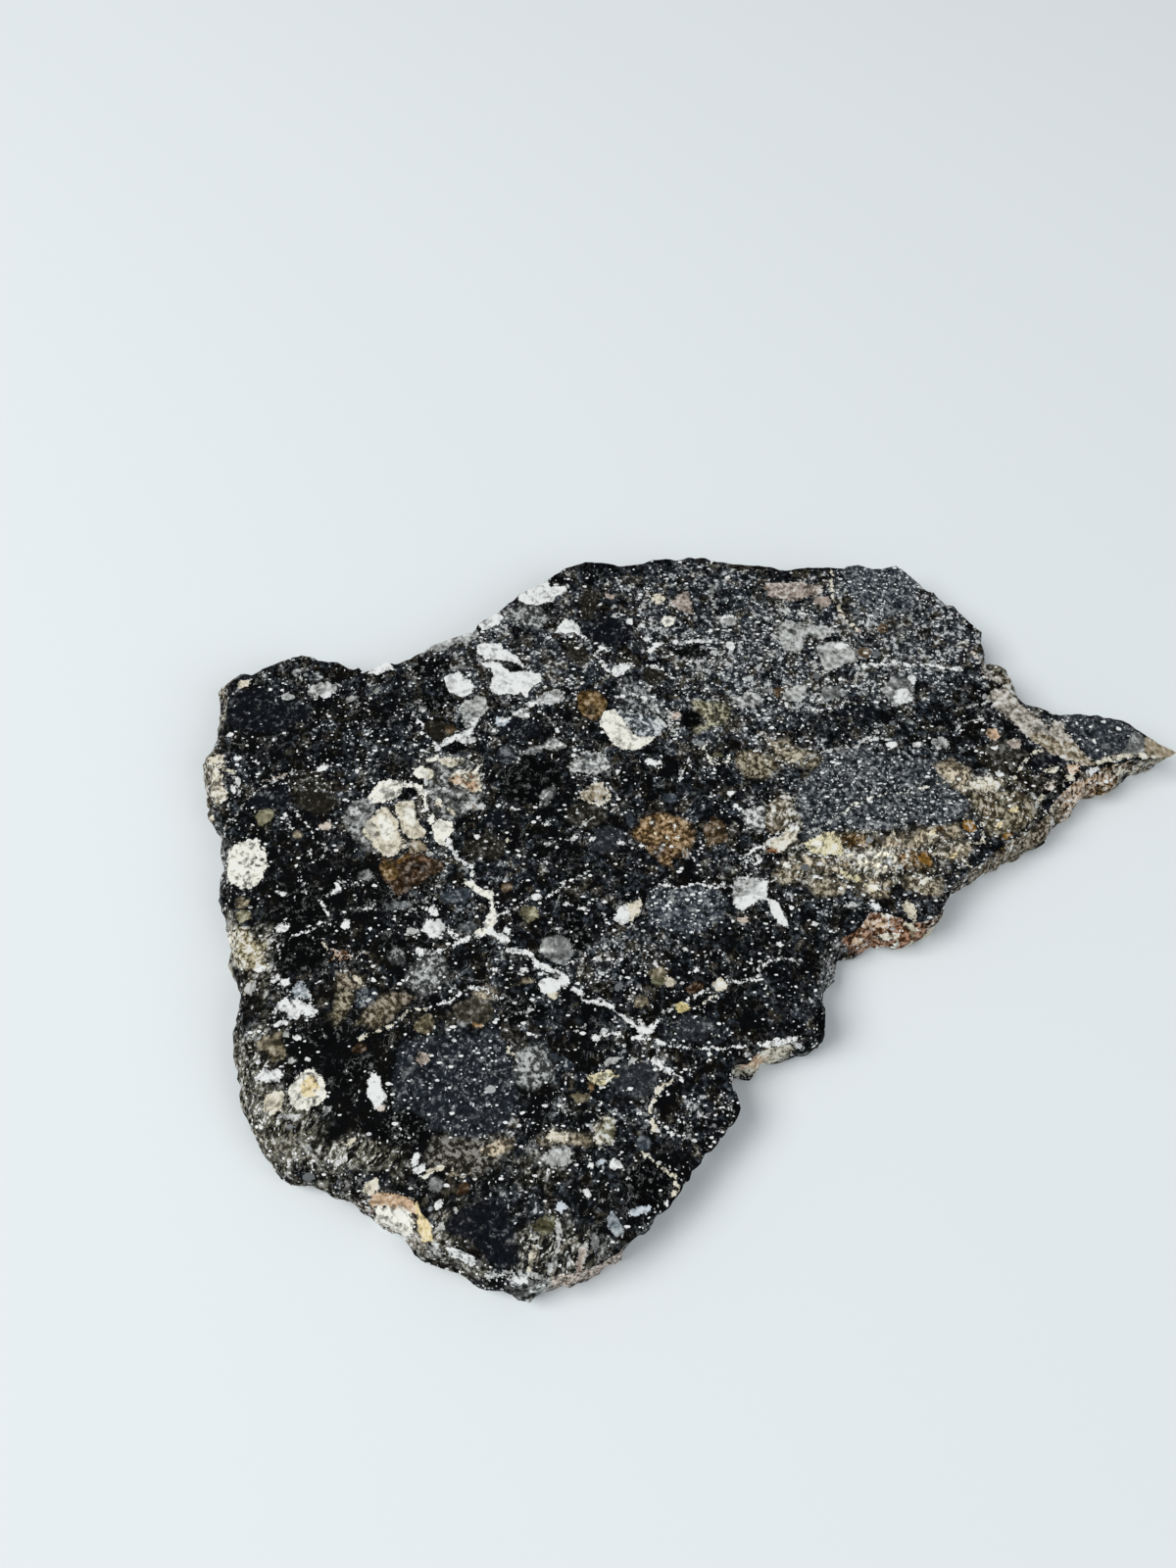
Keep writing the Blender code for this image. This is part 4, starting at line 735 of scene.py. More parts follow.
    ("pale", 0.14, [(-9.9, 6.4), (-10.4, 5.7), (-10.9, 5.1)]),
    ("cream", 0.20, [(-2.7, -20.2), (-2.0, -20.8), (-1.9, -21.5), (-2.2, -22.0)]),
    ("cream", 0.16, [(-4.0, -19.5), (-3.4, -19.9), (-3.0, -20.2)]),
    ("cream", 0.25, [(-17.4, -20.9), (-17.0, -20.5), (-16.2, -20.3), (-15.6, -20.2)]),
    ("tan", 0.25, [(-16.0, -20.6), (-15.2, -20.8), (-14.6, -20.6)]),
    ("white", 0.35, [(4.1, -12.5), (5.2, -12.5), (6.2, -12.1)]),
    ("pale", 0.16, [(2.0, -15.4), (1.9, -14.8), (2.3, -14.1)]),
]

# ---- cracks and darker places over the clasts: colour, width, points, strength

CRACKS = [
    ("umber", 0.16, [(-22.1, 4.9), (-21.4, 4.3), (-20.95, 3.4), (-20.6, 2.7), (-20.1, 2.0),
                     (-19.7, 1.3)], 0.9),
    ("umber", 0.12, [(-21.9, 0.9), (-21.2, 0.5), (-20.5, 0.3)], 0.9),
    ("black", 0.12, [(-20.7, 1.0), (-20.4, 0.2), (-19.9, -0.7)], 0.6),
    ("tan", 0.18, [(-22.4, 2.8), (-21.9, 1.9), (-21.2, 1.3)], 0.35),
    ("grey", 0.35, [(-22.9, 3.4), (-22.6, 2.6)], 0.5),
    ("umber", 0.13, [(-26.3, -14.9), (-25.9, -14.6), (-25.6, -15.2), (-25.9, -15.7),
                     (-25.5, -15.95), (-24.9, -15.85), (-24.4, -15.6)], 0.8),
    ("umber", 0.13, [(-25.6, -14.5), (-25.1, -14.6), (-24.8, -15.0), (-25.0, -15.5)], 0.8),
    ("umber", 0.13, [(-25.0, -15.9), (-24.9, -16.3), (-25.1, -16.6)], 0.8),
    ("black", 0.14, [(-27.2, -9.4), (-26.9, -9.9), (-26.6, -10.2), (-26.2, -10.2)], 0.9),
    ("black", 0.12, [(-27.5, -10.0), (-27.0, -10.0)], 0.9),
    ("umber", 0.12, [(-5.8, -14.6), (-6.3, -14.75), (-6.9, -14.7)], 0.9),
    ("umber", 0.30, [(-6.7, -14.5), (-6.3, -14.5)], 0.7),
    ("umber", 0.10, [(-1.5, 21.2), (-1.2, 21.4), (-0.9, 21.2), (-1.2, 21.0), (-1.5, 21.2)], 0.5),
    ("black", 0.24, [(-1.2, 21.25), (-1.2, 21.2)], 0.8),
    ("grey", 0.70, [(-23.3, 3.5), (-22.9, 2.8)], 0.5),
    ("tan", 0.55, [(-22.2, 1.8), (-21.5, 1.3)], 0.6),
    ("sand", 0.50, [(-20.9, 5.0), (-20.4, 4.9)], 0.5),
    ("umber", 0.40, [(-19.8, 4.6), (-19.6, 4.0)], 0.7),
    ("sand", 0.45, [(-19.6, 2.9), (-19.3, 2.5)], 0.6),
    ("grey", 0.40, [(-22.4, 6.1), (-21.8, 6.0)], 0.5),
    ("umber", 0.35, [(-22.0, 5.6), (-21.5, 5.9)], 0.7),
    ("black", 0.45, [(-19.6, 0.2), (-19.0, -0.2)], 0.65),
    ("umber", 0.40, [(-20.2, -0.9), (-19.9, -1.4)], 0.6),
    ("ember", 0.35, [(-19.4, 0.8), (-18.6, 0.6)], 0.4),
    ("black", 0.30, [(-18.3, 0.2), (-17.9, 0.3)], 0.6),
    ("gold", 0.30, [(-20.6, 0.6), (-20.1, 0.9)], 0.5),
    # grey streaks of the big cream clast
    ("slate", 0.30, [(-4.8, 12.6), (-4.2, 12.4), (-3.6, 12.5)], 0.9),
    ("iron", 0.20, [(-4.5, 12.1), (-4.0, 11.8), (-3.6, 11.2)], 0.7),
    ("iron", 0.16, [(-3.8, 12.2), (-3.3, 11.7), (-3.0, 11.0)], 0.7),
    ("slate", 0.22, [(-3.1, 12.4), (-2.7, 11.9), (-2.5, 11.3)], 0.8),
    ("iron", 0.14, [(-4.9, 11.6), (-4.4, 11.2), (-4.0, 10.6)], 0.45),
    ("grey", 0.14, [(-5.4, 12.4), (-5.2, 11.6)], 0.4),
    ("grey", 0.12, [(-3.2, 10.8), (-3.0, 10.2)], 0.5),
    ("iron", 0.40, [(-7.5, 9.0), (-7.0, 9.0)], 0.8),
    ("iron", 0.18, [(-8.1, 8.2), (-7.2, 8.1), (-6.3, 8.3)], 0.7),
    ("iron", 0.14, [(-8.4, 7.9), (-7.5, 7.8), (-6.6, 7.9)], 0.5),
    # dark grains of the speckled clast and of the round cream one
    ("black", 0.45, [(-19.0, 8.3), (-18.7, 8.1)], 0.9), ("black", 0.40, [(-16.7, 8.5),
     (-16.4, 8.3)], 0.8), ("umber", 0.50, [(-18.6, 7.2), (-18.4, 6.8)], 0.9),
    ("black", 0.40, [(-18.2, 5.8), (-17.9, 5.9)], 0.8), ("umber", 0.55, [(-17.6, 5.2),
     (-17.2, 5.5)], 0.9), ("ember", 0.45, [(-16.8, 7.0), (-16.4, 6.7)], 0.7),
    ("ember", 0.35, [(-15.9, 7.5), (-15.6, 7.3)], 0.7), ("umber", 0.40, [(-16.4, 5.6),
     (-16.1, 5.4)], 0.9), ("brown", 0.40, [(-15.8, 4.9), (-15.6, 4.7)], 0.7),
    ("umber", 0.35, [(-17.4, 7.9), (-17.2, 7.8)], 0.8),
    ("black", 0.20, [(-30.5, 1.5), (-30.4, 1.4)], 0.9), ("black", 0.22, [(-30.9, 0.95),
     (-30.8, 0.9)], 0.9), ("black", 0.20, [(-30.4, 0.7), (-30.3, 0.6)], 0.9),
    ("black", 0.16, [(-31.2, 1.6), (-31.1, 1.6)], 0.8), ("black", 0.20, [(-30.8, 0.2),
     (-30.6, 0.15)], 0.9), ("black", 0.16, [(-31.4, -0.3), (-31.3, -0.35)], 0.8),
    ("black", 0.18, [(-30.6, -0.8), (-30.5, -0.8)], 0.8), ("iron", 0.16, [(-32.0, 0.5),
     (-31.9, 0.45)], 0.7), ("iron", 0.16, [(-31.0, -1.1), (-30.9, -1.0)], 0.7),
    ("iron", 0.14, [(-31.7, 1.3), (-31.6, 1.25)], 0.7), ("black", 0.18, [(-31.2, 0.4),
     (-31.1, 0.5)], 0.8), ("iron", 0.14, [(-32.4, -0.2), (-32.3, -0.2)], 0.6),
    ("black", 0.30, [(-19.5, 8.5), (-19.2, 8.2)], 0.9),
    ("umber", 0.30, [(-18.8, 8.4), (-18.4, 8.6)], 0.9),
    ("umber", 0.26, [(-18.5, 8.0), (-18.6, 7.2), (-18.9, 6.6)], 0.85),
    ("umber", 0.28, [(-18.2, 7.1), (-17.7, 7.2)], 0.8),
    ("umber", 0.28, [(-17.5, 6.8), (-17.1, 6.0), (-16.4, 6.2)], 0.8),
    ("black", 0.36, [(-17.0, 5.6), (-16.8, 5.1)], 0.85),
    ("umber", 0.26, [(-18.9, 5.6), (-18.5, 5.2)], 0.8),
    ("umber", 0.24, [(-17.2, 4.9), (-16.7, 4.5)], 0.8),
    ("umber", 0.24, [(-15.7, 6.0), (-15.5, 5.5)], 0.8),
    ("brown", 0.22, [(-17.3, 7.4), (-16.8, 7.3)], 0.8),
    ("rust", 0.60, [(-3.2, 2.1), (-2.5, 1.6), (-1.8, 1.2)], 0.55),
    ("rust", 0.40, [(-0.4, 3.1), (-0.2, 2.4)], 0.5),
    # others
    ("black", 0.50, [(-13.2, 17.0), (-12.7, 16.9)], 0.95),
    ("iron", 0.24, [(-14.7, 18.6), (-14.5, 18.5)], 0.6),
    ("umber", 0.90, [(-7.2, 13.2), (-7.1, 12.9)], 0.55),
    ("olive", 0.60, [(2.0, 9.2), (2.3, 9.2)], 0.8),
    ("umber", 0.60, [(8.4, 20.1), (8.6, 20.0)], 0.8),
    ("black", 0.50, [(2.2, 13.0), (2.4, 12.3)], 0.6),
    ("grey", 0.12, [(23.8, 13.8), (24.9, 12.2), (26.2, 10.9)], 0.5),
    ("grey", 0.12, [(24.4, 14.0), (25.6, 12.2), (26.9, 11.0)], 0.5),
    ("smoke", 0.30, [(26.4, 11.7), (26.9, 11.2)], 0.6),
    ("brown", 0.22, [(26.7, 10.6), (26.9, 10.5)], 0.6),
    ("brown", 0.20, [(28.0, 9.3), (28.4, 9.0)], 0.5),
]

# ---- broad zones of the sawn face: kind, x, y, width, height, strength

ZONES = [
    ("specks", -5.0, -7.5, 7.0, 6.0, 0.9), ("specks", -9.5, -16.5, 6.0, 4.5, 0.7),
    ("specks", 0.0, -17.5, 5.0, 6.0, 0.9), ("specks", 14.0, 6.5, 12.0, 6.0, 0.6),
    ("specks", -16.0, -15.0, 8.0, 6.0, 0.6), ("specks", 16.0, 24.0, 8.0, 6.0, 0.6),
    ("specks", 6.0, 4.0, 5.0, 5.0, 0.7), ("specks", 7.0, 9.5, 7.0, 4.0, 0.8),
    ("specks", 12.0, 0.5, 15.0, 5.0, 1.0), ("specks", 23.0, 5.0, 6.0, 7.0, 0.8),
    ("specks", 3.0, 0.0, 6.0, 6.0, 0.5), ("specks", 5.0, 16.5, 10.0, 6.0, 0.5),
    ("specks", 10.0, 18.0, 8.0, 8.0, 0.7), ("specks", -20.0, -3.0, 8.0, 5.0, 0.4),
    ("specks", -24.0, 11.0, 8.0, 6.0, 0.3), ("specks", 3.5, -6.5, 6.0, 5.0, 0.4),
    ("rust", 12.5, 0.5, 14.0, 4.5, 1.0), ("rust", -19.5, -0.5, 5.0, 3.5, 0.6),
    ("rust", -15.0, -10.2, 4.0, 2.6, 0.6), ("rust", -24.3, -7.0, 3.5, 5.0, 0.5),
    ("rust", 23.5, 7.0, 6.0, 8.0, 0.8), ("rust", -15.0, -20.5, 5.0, 4.0, 0.6),
    ("rust", -1.9, 2.6, 4.5, 3.2, 0.5), ("rust", -28.0, 6.0, 5.0, 6.0, 0.5),
    ("rust", -0.3, -8.7, 3.0, 2.0, 0.5), ("rust", -14.8, 1.6, 3.0, 2.4, 0.4),
    # these zones make the ground paler and greyer, mostly over the face's far part: painted sheen, where the
    # polish looks hazy
    ("painted_sheen", -14.0, 18.0, 20.0, 12.0, 0.7), ("painted_sheen", 8.0, 18.0, 26.0, 17.0, 1.0),
    ("painted_sheen", 16.0, 20.0, 18.0, 14.0, 1.0), ("painted_sheen", 2.0, 22.0, 18.0, 12.0, 0.8),
    ("painted_sheen", 14.0, 7.0, 16.0, 8.0, 0.6), ("painted_sheen", 18.0, 22.0, 14.0, 12.0, 1.0),
    ("painted_sheen", -5.0, -7.0, 8.0, 6.0, 0.5), ("painted_sheen", 27.0, 12.0, 10.0, 6.0, 0.5),
    ("dim", -26.0, -3.0, 16.0, 12.0, 1.4), ("dim", -22.0, -15.0, 16.0, 11.0, 1.9),
    ("dim", 0.5, -8.5, 14.0, 9.0, 0.6), ("dim", -5.0, -21.5, 9.0, 6.0, 0.8),
    ("dim", -30.5, 13.0, 10.0, 7.0, 0.7), ("dim", -11.5, 8.0, 9.0, 7.0, 0.6),
    ("fibre", -27.0, -18.0, 8.0, 5.0, 1.0), ("fibre", -29.0, -14.5, 4.0, 8.0, 1.0),
    ("fibre", -22.0, -19.8, 8.0, 3.4, 0.8), ("fibre", -9.5, -25.0, 7.0, 5.0, 0.7),
    ("fibre", 22.4, 4.5, 6.0, 5.0, 0.8), ("fibre", 17.0, 1.8, 8.0, 3.4, 0.7),
    ("fibre", -10.5, -20.0, 7.0, 4.0, 0.5), ("fibre", -30.0, -7.0, 4.0, 8.0, 0.6),
    ("fibre", 20.0, 7.0, 4.0, 3.0, 0.6), ("fibre", 11.0, 1.0, 13.0, 5.0, 0.9),
    ("fibre", 6.5, 3.5, 5.0, 5.0, 0.7), ("fibre", 6.5, 9.0, 7.0, 3.0, 0.5), ("fibre", -17.0, -24.0, 6.0, 4.0, 0.6),
]

# ---- the weathered rim, seen from above: x, y, reach, colour, strength

RIM_TINTS = [
    (13.0, -5.0, 2.6, "ember", 0.9), (17.6, -2.4, 2.0, "brown", 0.8),
    (20.5, -0.6, 2.0, "dun", 0.8), (23.2, 1.4, 2.0, "honey", 0.9),
    (25.8, 3.6, 2.0, "drab", 0.9), (28.6, 5.4, 2.0, "peach", 0.85),
    (31.4, 7.0, 2.0, "ochre", 0.8), (36.0, 9.3, 2.4, "sand", 0.9), (24.4, 16.0, 2.0, "fibre", 1.0),
    (33.5, 12.0, 2.5, "tan", 0.5), (25.5, 16.5, 2.5, "tan", 0.7),
    (20.5, 20.5, 3.0, "grey", 0.4), (14.0, 26.5, 4.0, "smoke", 0.4),
    (5.0, 27.0, 4.0, "smoke", 0.4), (-6.0, 26.5, 3.5, "grey", 0.5),
    (-14.0, 23.0, 4.0, "pale", 0.6), (-20.5, 18.5, 4.0, "pale", 0.6),
    (-28.0, 17.0, 4.0, "grey", 0.5), (-34.5, 14.0, 3.0, "tan", 0.5),
    (-36.0, 7.0, 3.5, "tan", 0.6), (-34.5, 0.0, 3.5, "grey", 0.5),
    (-32.5, -6.0, 3.0, "cream", 0.4), (-30.5, -12.0, 3.0, "fibre", 0.3),
    (-29.0, -17.0, 3.0, "fibre", 0.3), (-25.0, -20.5, 3.0, "fibre", 0.4),
    # the rust tint at the lower-left corner on the next row is partly the rim's reddish colour and partly a
    # painted shadow line along it
    (-21.3, -23.0, 1.3, "rust", 0.8), (-18.8, -24.0, 1.5, "pink", 0.95),
    (-15.0, -26.0, 2.0, "fibre", 0.5), (-10.5, -27.5, 2.5, "pale", 0.5),
    (-4.0, -25.0, 3.0, "smoke", 0.5), (2.0, -19.0, 3.0, "coal", 0.5),
    (4.5, -13.0, 1.5, "tan", 0.7), (9.0, -8.0, 2.2, "smoke", 0.6),
]

# marks on the near side of the rim, where they are seen from the camera: layer, then as above

RIM_SHAPES = [
    ("bright", "ivory", 0.45, [(-20.4, -22.5), (-19.2, -22.4), (-18.4, -22.9), (-18.0, -23.6),
                              (-18.2, -24.4), (-19.2, -24.0), (-20.5, -23.4)]),
    ("bright", "peach", 0.35, [(-20.8, -21.7), (-19.2, -21.8), (-18.1, -22.3), (-17.8, -23.0),
                               (-18.6, -22.8), (-19.5, -22.5), (-20.8, -22.5)]),
    ("bright", "butter", 0.35, [(-18.1, -22.1), (-17.5, -22.2), (-17.0, -23.4), (-16.7, -24.4),
                               (-17.4, -24.6), (-17.9, -23.5)]),
    ("bright", "white", 0.60, [(-15.9, -24.9), (-15.0, -24.7), (-14.3, -25.3), (-14.0, -26.0),
                               (-14.8, -25.9), (-15.5, -25.4)]),
    ("bright", "pale", 0.70, [(-17.2, -24.7), (-16.5, -24.6), (-16.1, -25.3), (-16.8, -25.2)]),
    ("bright", "white", 0.70, [(-12.2, -26.6), (-11.2, -26.4), (-10.9, -27.0), (-11.8, -27.1)]),
    ("middle", "rose", 0.90, [(-9.6, -26.4), (-8.2, -26.0), (-6.8, -25.8), (-5.8, -25.0),
                              (-5.0, -25.3), (-6.6, -26.5), (-8.4, -27.0), (-9.6, -27.2)]),
    ("bright", "cream", 0.80, [(0.6, -14.2), (1.6, -13.7), (2.8, -13.2), (4.2, -12.9),
                               (5.6, -12.4), (6.4, -12.6), (5.6, -13.4), (3.8, -14.1),
                               (2.0, -14.6), (0.9, -15.2)]),
    ("bright", "peach", 0.70, [(2.2, -13.4), (3.6, -13.1), (4.4, -13.4), (3.4, -14.0),
                               (2.3, -14.1)]),
    ("middle", "ember", 0.95, [(10.6, -3.7), (12.5, -3.6), (15.2, -3.9), (15.9, -4.8),
                               (14.4, -5.9), (12.2, -6.6), (10.2, -6.0), (9.9, -4.8)]),
    ("bright", "peach", 0.85, [(11.0, -3.9), (12.6, -3.8), (13.4, -4.2), (12.4, -4.6),
                               (11.2, -4.5)]),
    ("bright", "cream", 0.80, [(12.0, -5.0), (13.2, -4.7), (14.0, -5.0), (13.0, -5.5)]),
    ("bright", "peach", 0.80, [(10.3, -5.0), (11.3, -5.1), (11.6, -5.7), (10.6, -5.7)]),
    ("bright", "cream", 0.75, [(14.2, -4.0), (15.0, -4.0), (15.2, -4.6), (14.4, -4.6)]),
    # this black patch among the rim's brown and pale lumps is painted shadow, drawn with the dark layer
    ("dark", "black", 0.30, [(14.6, -4.8), (15.8, -4.6), (15.2, -5.4), (14.2, -5.8)]),
    ("bright", "peach", 0.85, [(26.4, 6.0), (27.4, 6.6), (28.8, 7.1), (30.2, 7.6), (29.6, 6.9),
                              (28.0, 6.1), (26.9, 5.5)]),
    ("bright", "cream", 0.80, [(30.6, 7.6), (31.9, 8.2), (32.4, 7.9), (31.4, 7.4)]),
    ("bright", "cream", 0.80, [(24.9, 3.9), (25.7, 4.7), (26.3, 5.3), (26.0, 4.5)]),
    ("bright", "butter", 0.80, [(22.2, 2.3), (22.8, 2.9), (23.6, 3.2), (23.2, 2.5)]),
    ("middle", "dun", 0.95, [(19.0, -1.2), (20.6, 0.3), (22.4, 1.6), (24.2, 2.9), (25.8, 4.6),
                              (26.6, 4.4), (25.8, 3.0), (24.0, 1.4), (21.8, -0.2),
                              (19.8, -1.8)]),
]
LEDGE = (23.9, 16.1, 1.3, 1.1)  # a low ledge at the far right of the rim: x, y, reach, how far

DEEP_TURN = math.radians(197.0)  # the underside shows the same kinds of clasts, elsewhere
DEEP_SHIFT = (-4.0, 2.5)


# ---- noise and distances, for many points at once

def scatter(cells, seed):
    """A number from 0 to 1 for each row of whole numbers, always the same one."""
    mixed = cells[:, 0] * 374761393 + cells[:, 1] * 668265263 + cells[:, 2] * 2147483647
    mixed = (mixed + seed * 1274126177) & 0xFFFFFFFF
    mixed = ((mixed ^ (mixed >> 13)) * 1274126177) & 0xFFFFFFFF
    mixed = ((mixed ^ (mixed >> 16)) * 2246822519) & 0xFFFFFFFF
    return ((mixed ^ (mixed >> 15)) & 0xFFFFFF) / float(0xFFFFFF)


def ripple(points, size, seed):
    """Smooth noise from -1 to 1 with waves of about this size."""
    scaled = points / size
    cell = np.floor(scaled).astype(np.int64)
    part = scaled - cell
    part = part * part * (3.0 - 2.0 * part)
    total = np.zeros(len(points))
    for corner in np.ndindex(2, 2, 2):
        weight = np.ones(len(points))
        for axis in range(3):
            weight = weight * (part[:, axis] if corner[axis] else 1.0 - part[:, axis])
        total += weight * scatter(cell + np.array(corner), seed)
    return 2.0 * total - 1.0


def shaken(points, reach, size, seed):
    """The points moved in the plane by up to this reach."""
    moved = points.copy()
    moved[:, 0] += reach * ripple(points, size, seed)
    moved[:, 1] += reach * ripple(points, size, seed + 1)
    return moved


def to_segment(x, y, start, end):
    """Distance from each point to one straight piece, and how far along it the nearest place is."""
    run = np.array(end) - np.array(start)
    along = ((x - start[0]) * run[0] + (y - start[1]) * run[1]) / max(run @ run, 1e-9)
    along = np.clip(along, 0.0, 1.0)
    return np.hypot(x - start[0] - along * run[0], y - start[1] - along * run[1])


def inside(x, y, starts, ends):
    """Whether each point lies inside the closed edges, by counting those to its right."""
    odd = np.zeros(len(x), bool)
    for (x0, y0), (x1, y1) in zip(starts, ends):
        if y0 != y1:
            crosses = (y0 > y) != (y1 > y)
            odd ^= crosses & (x < x0 + (y - y0) * (x1 - x0) / (y1 - y0))
    return odd


# ---- how far inside its nearest marking each point lies

def linear(colour):
    """The light values of an ink."""
    shade = np.array(INK[colour]) / 255.0
    return np.where(shade <= 0.04045, shade / 12.92, ((shade + 0.055) / 1.055) ** 2.4)


class Layer:
    """One kind of marking over a set of points: depth inside the nearest one, and its ink."""

    def __init__(self, points, depth):
        self.points, self.depth = points, depth
        self.edge = np.full(len(points), -REACH)
        self.ink = np.zeros((len(points), 4))

    def near(self, x0, x1, y0, y1):
        x, y = self.points[:, 0], self.points[:, 1]
        return np.nonzero((x > x0 - REACH) & (x < x1 + REACH) &
                          (y > y0 - REACH) & (y < y1 + REACH))[0]

    def lay(self, where, edge, colour, grain):
        """Takes the nearest marking's ink, or the later one's where they overlap."""
        wins = edge > np.minimum(self.edge[where], 0.02)
        where, edge = where[wins], edge[wins]
        self.edge[where] = np.maximum(self.edge[where], edge)
        self.ink[where] = (*linear(colour), grain)

    def spot(self, x, y, width, height, turn, colour, grain):
        a, b = width / 2, height / 2
        reach = max(a, b)
        where = self.near(x - reach, x + reach, y - reach, y + reach)
        if not len(where):
            return
        c, s = math.cos(math.radians(turn)), math.sin(math.radians(turn))
        dx, dy = self.points[where, 0] - x, self.points[where, 1] - y
        u, v = (c * dx + s * dy) / a, (c * dy - s * dx) / b
        angle = np.arctan2(v, u)
        phase = 7.0 * x + 3.0 * y
        lobed = 1.0 + 0.06 * np.cos(3 * angle + phase) + 0.05 * np.cos(5 * angle + 2 * phase)
        down = self.depth[where] / min(1.8 * math.sqrt(a * b) + 0.3, 2.8)
        edge = (lobed - np.sqrt(u * u + v * v + down * down)) * min(a, b)
        self.lay(where, edge, colour, grain)

    def shape(self, colour, grain, corners, sink=0.35):
        xs, ys = zip(*corners)
        where = self.near(min(xs), max(xs), min(ys), max(ys))
        if not len(where):
            return
        x, y = self.points[where, 0], self.points[where, 1]
        ends = corners[1:] + corners[:1]
        edge = np.min([to_segment(x, y, a, b) for a, b in zip(corners, ends)], axis=0)
        edge = np.where(inside(x, y, corners, ends), edge, -edge)
        self.lay(where, edge - sink * self.depth[where], colour, grain)

    def line(self, colour, width, path, grain=0.65):
        xs, ys = zip(*path)
        where = self.near(min(xs), max(xs), min(ys), max(ys))
        if not len(where):
            return
        x, y = self.points[where, 0], self.points[where, 1]
        away = np.min([to_segment(x, y, a, b) for a, b in zip(path, path[1:])], axis=0)
        swell = 0.85 + 0.70 * ripple(self.points[where], 0.6, 31)
        self.lay(where, 0.5 * width * swell - away, colour, grain)


def markings(points, depth):
    """The layers of markings over these points, which lie this deep below the seen face."""
    drift = shaken(points, 0.45, 4.0, 11) - points
    points = points + drift * depth[:, None]
    points[:, 2] = 0.0
    points = shaken(shaken(points, 0.15, 1.3, 13), 0.07, 0.45, 17)
    layers = {name: Layer(points, depth) for name in ("dark", "middle", "bright", "crack")}
    for name, shapes, spots in (("dark", DARK_SHAPES, DARK), ("middle", MIDDLE_SHAPES, MIDDLE),
                                ("bright", BRIGHT_SHAPES, BRIGHT)):
        for shape in shapes:
            layers[name].shape(*shape)
        for spot in spots:
            layers[name].spot(*spot)
    for vein in VEINS:
        layers["bright"].line(*vein)
    for colour, width, path, strength in CRACKS:
        layers["crack"].line(colour, width, path, strength)
    return layers


def as_seen(points):
    """Where the camera sees each point on the plane of the upper sawn face."""
    eye = np.array(EYE)
    return eye + ((TOP - eye[2]) / (points[:, 2] - eye[2]))[:, None] * (points - eye)


def all_markings(points):
    """The markings of the seen face, and below it those of the underside too."""
    depth = np.clip(TOP - points[:, 2], 0.0, TOP)
    flat = points - np.array([*TRACE_SHIFT, 0.0])
    layers = markings(flat, depth)
    if depth.max() > 0.01:
        seen = as_seen(points) - np.array([*TRACE_SHIFT, 0.0])
        seen = shaken(shaken(seen, 0.15, 1.3, 13), 0.07, 0.45, 17)
        for kind, colour, grain, corners in RIM_SHAPES:
            layers[kind].points, kept = seen, layers[kind].points
            layers[kind].shape(colour, grain, corners, 0.0)
            layers[kind].points = kept
        c, s = math.cos(DEEP_TURN), math.sin(DEEP_TURN)
        turned = flat.copy()
        turned[:, 0] = c * flat[:, 0] - s * flat[:, 1] + DEEP_SHIFT[0]
        turned[:, 1] = s * flat[:, 0] + c * flat[:, 1] + DEEP_SHIFT[1]
        for name, deep in markings(turned, TOP - depth).items():
            wins = deep.edge > layers[name].edge
            layers[name].edge[wins] = deep.edge[wins]
            layers[name].ink[wins] = deep.ink[wins]
    return layers


def zone(points, kind):
    """How strong a broad zone is at each point, from 0 to about 1."""
    flat = shaken(points, 0.9, 3.0, 23)
    total = np.zeros(len(points))
    for name, x, y, width, height, strength in ZONES:
        if name == kind:
            u = (flat[:, 0] - TRACE_SHIFT[0] - x) / width
            v = (flat[:, 1] - TRACE_SHIFT[1] - y) / height
            total = np.maximum(total, strength * np.exp(-3.0 * (u * u + v * v) ** 1.5 * 4.0))
    return total


def rim_ink(points):
    """The rim's weathered colour, and how strong it is."""
    ink, total = np.zeros((len(points), 3)), np.full(len(points), 1e-6)
    flat = shaken(points, 0.8, 1.7, 29)
    for x, y, reach, colour, strength in RIM_TINTS:
        near = np.exp(-((flat[:, 0] - x) ** 2 + (flat[:, 1] - y) ** 2) / reach ** 2)
        ink += near[:, None] * linear(colour)
        total += near
    pull = np.zeros(len(points))
    for x, y, reach, colour, strength in RIM_TINTS:
        near = np.exp(-((flat[:, 0] - x) ** 2 + (flat[:, 1] - y) ** 2) / reach ** 2)
        pull = np.maximum(pull, strength * near)
    return np.column_stack([ink / total[:, None], pull])


# ---- meshes

def split_solid(node):
    """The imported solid's rim as a fine bmesh in mm, without its two sawn faces."""
    bm = bmesh.new()
    bm.from_mesh(node.data)
    bmesh.ops.scale(bm, vec=(1 / MM,) * 3, verts=bm.verts)
    bmesh.ops.remove_doubles(bm, verts=bm.verts, dist=0.001)
    sawn = [f for f in bm.faces if all(v.co.z > TOP - 0.001 for v in f.verts)
            or all(v.co.z < 0.001 for v in f.verts)]
    bmesh.ops.delete(bm, geom=sawn, context="FACES")
    bmesh.ops.subdivide_edges(bm, edges=bm.edges[:], cuts=RIM_CUTS, use_grid_fill=True)
    bmesh.ops.triangulate(bm, faces=bm.faces[:])
    return bm


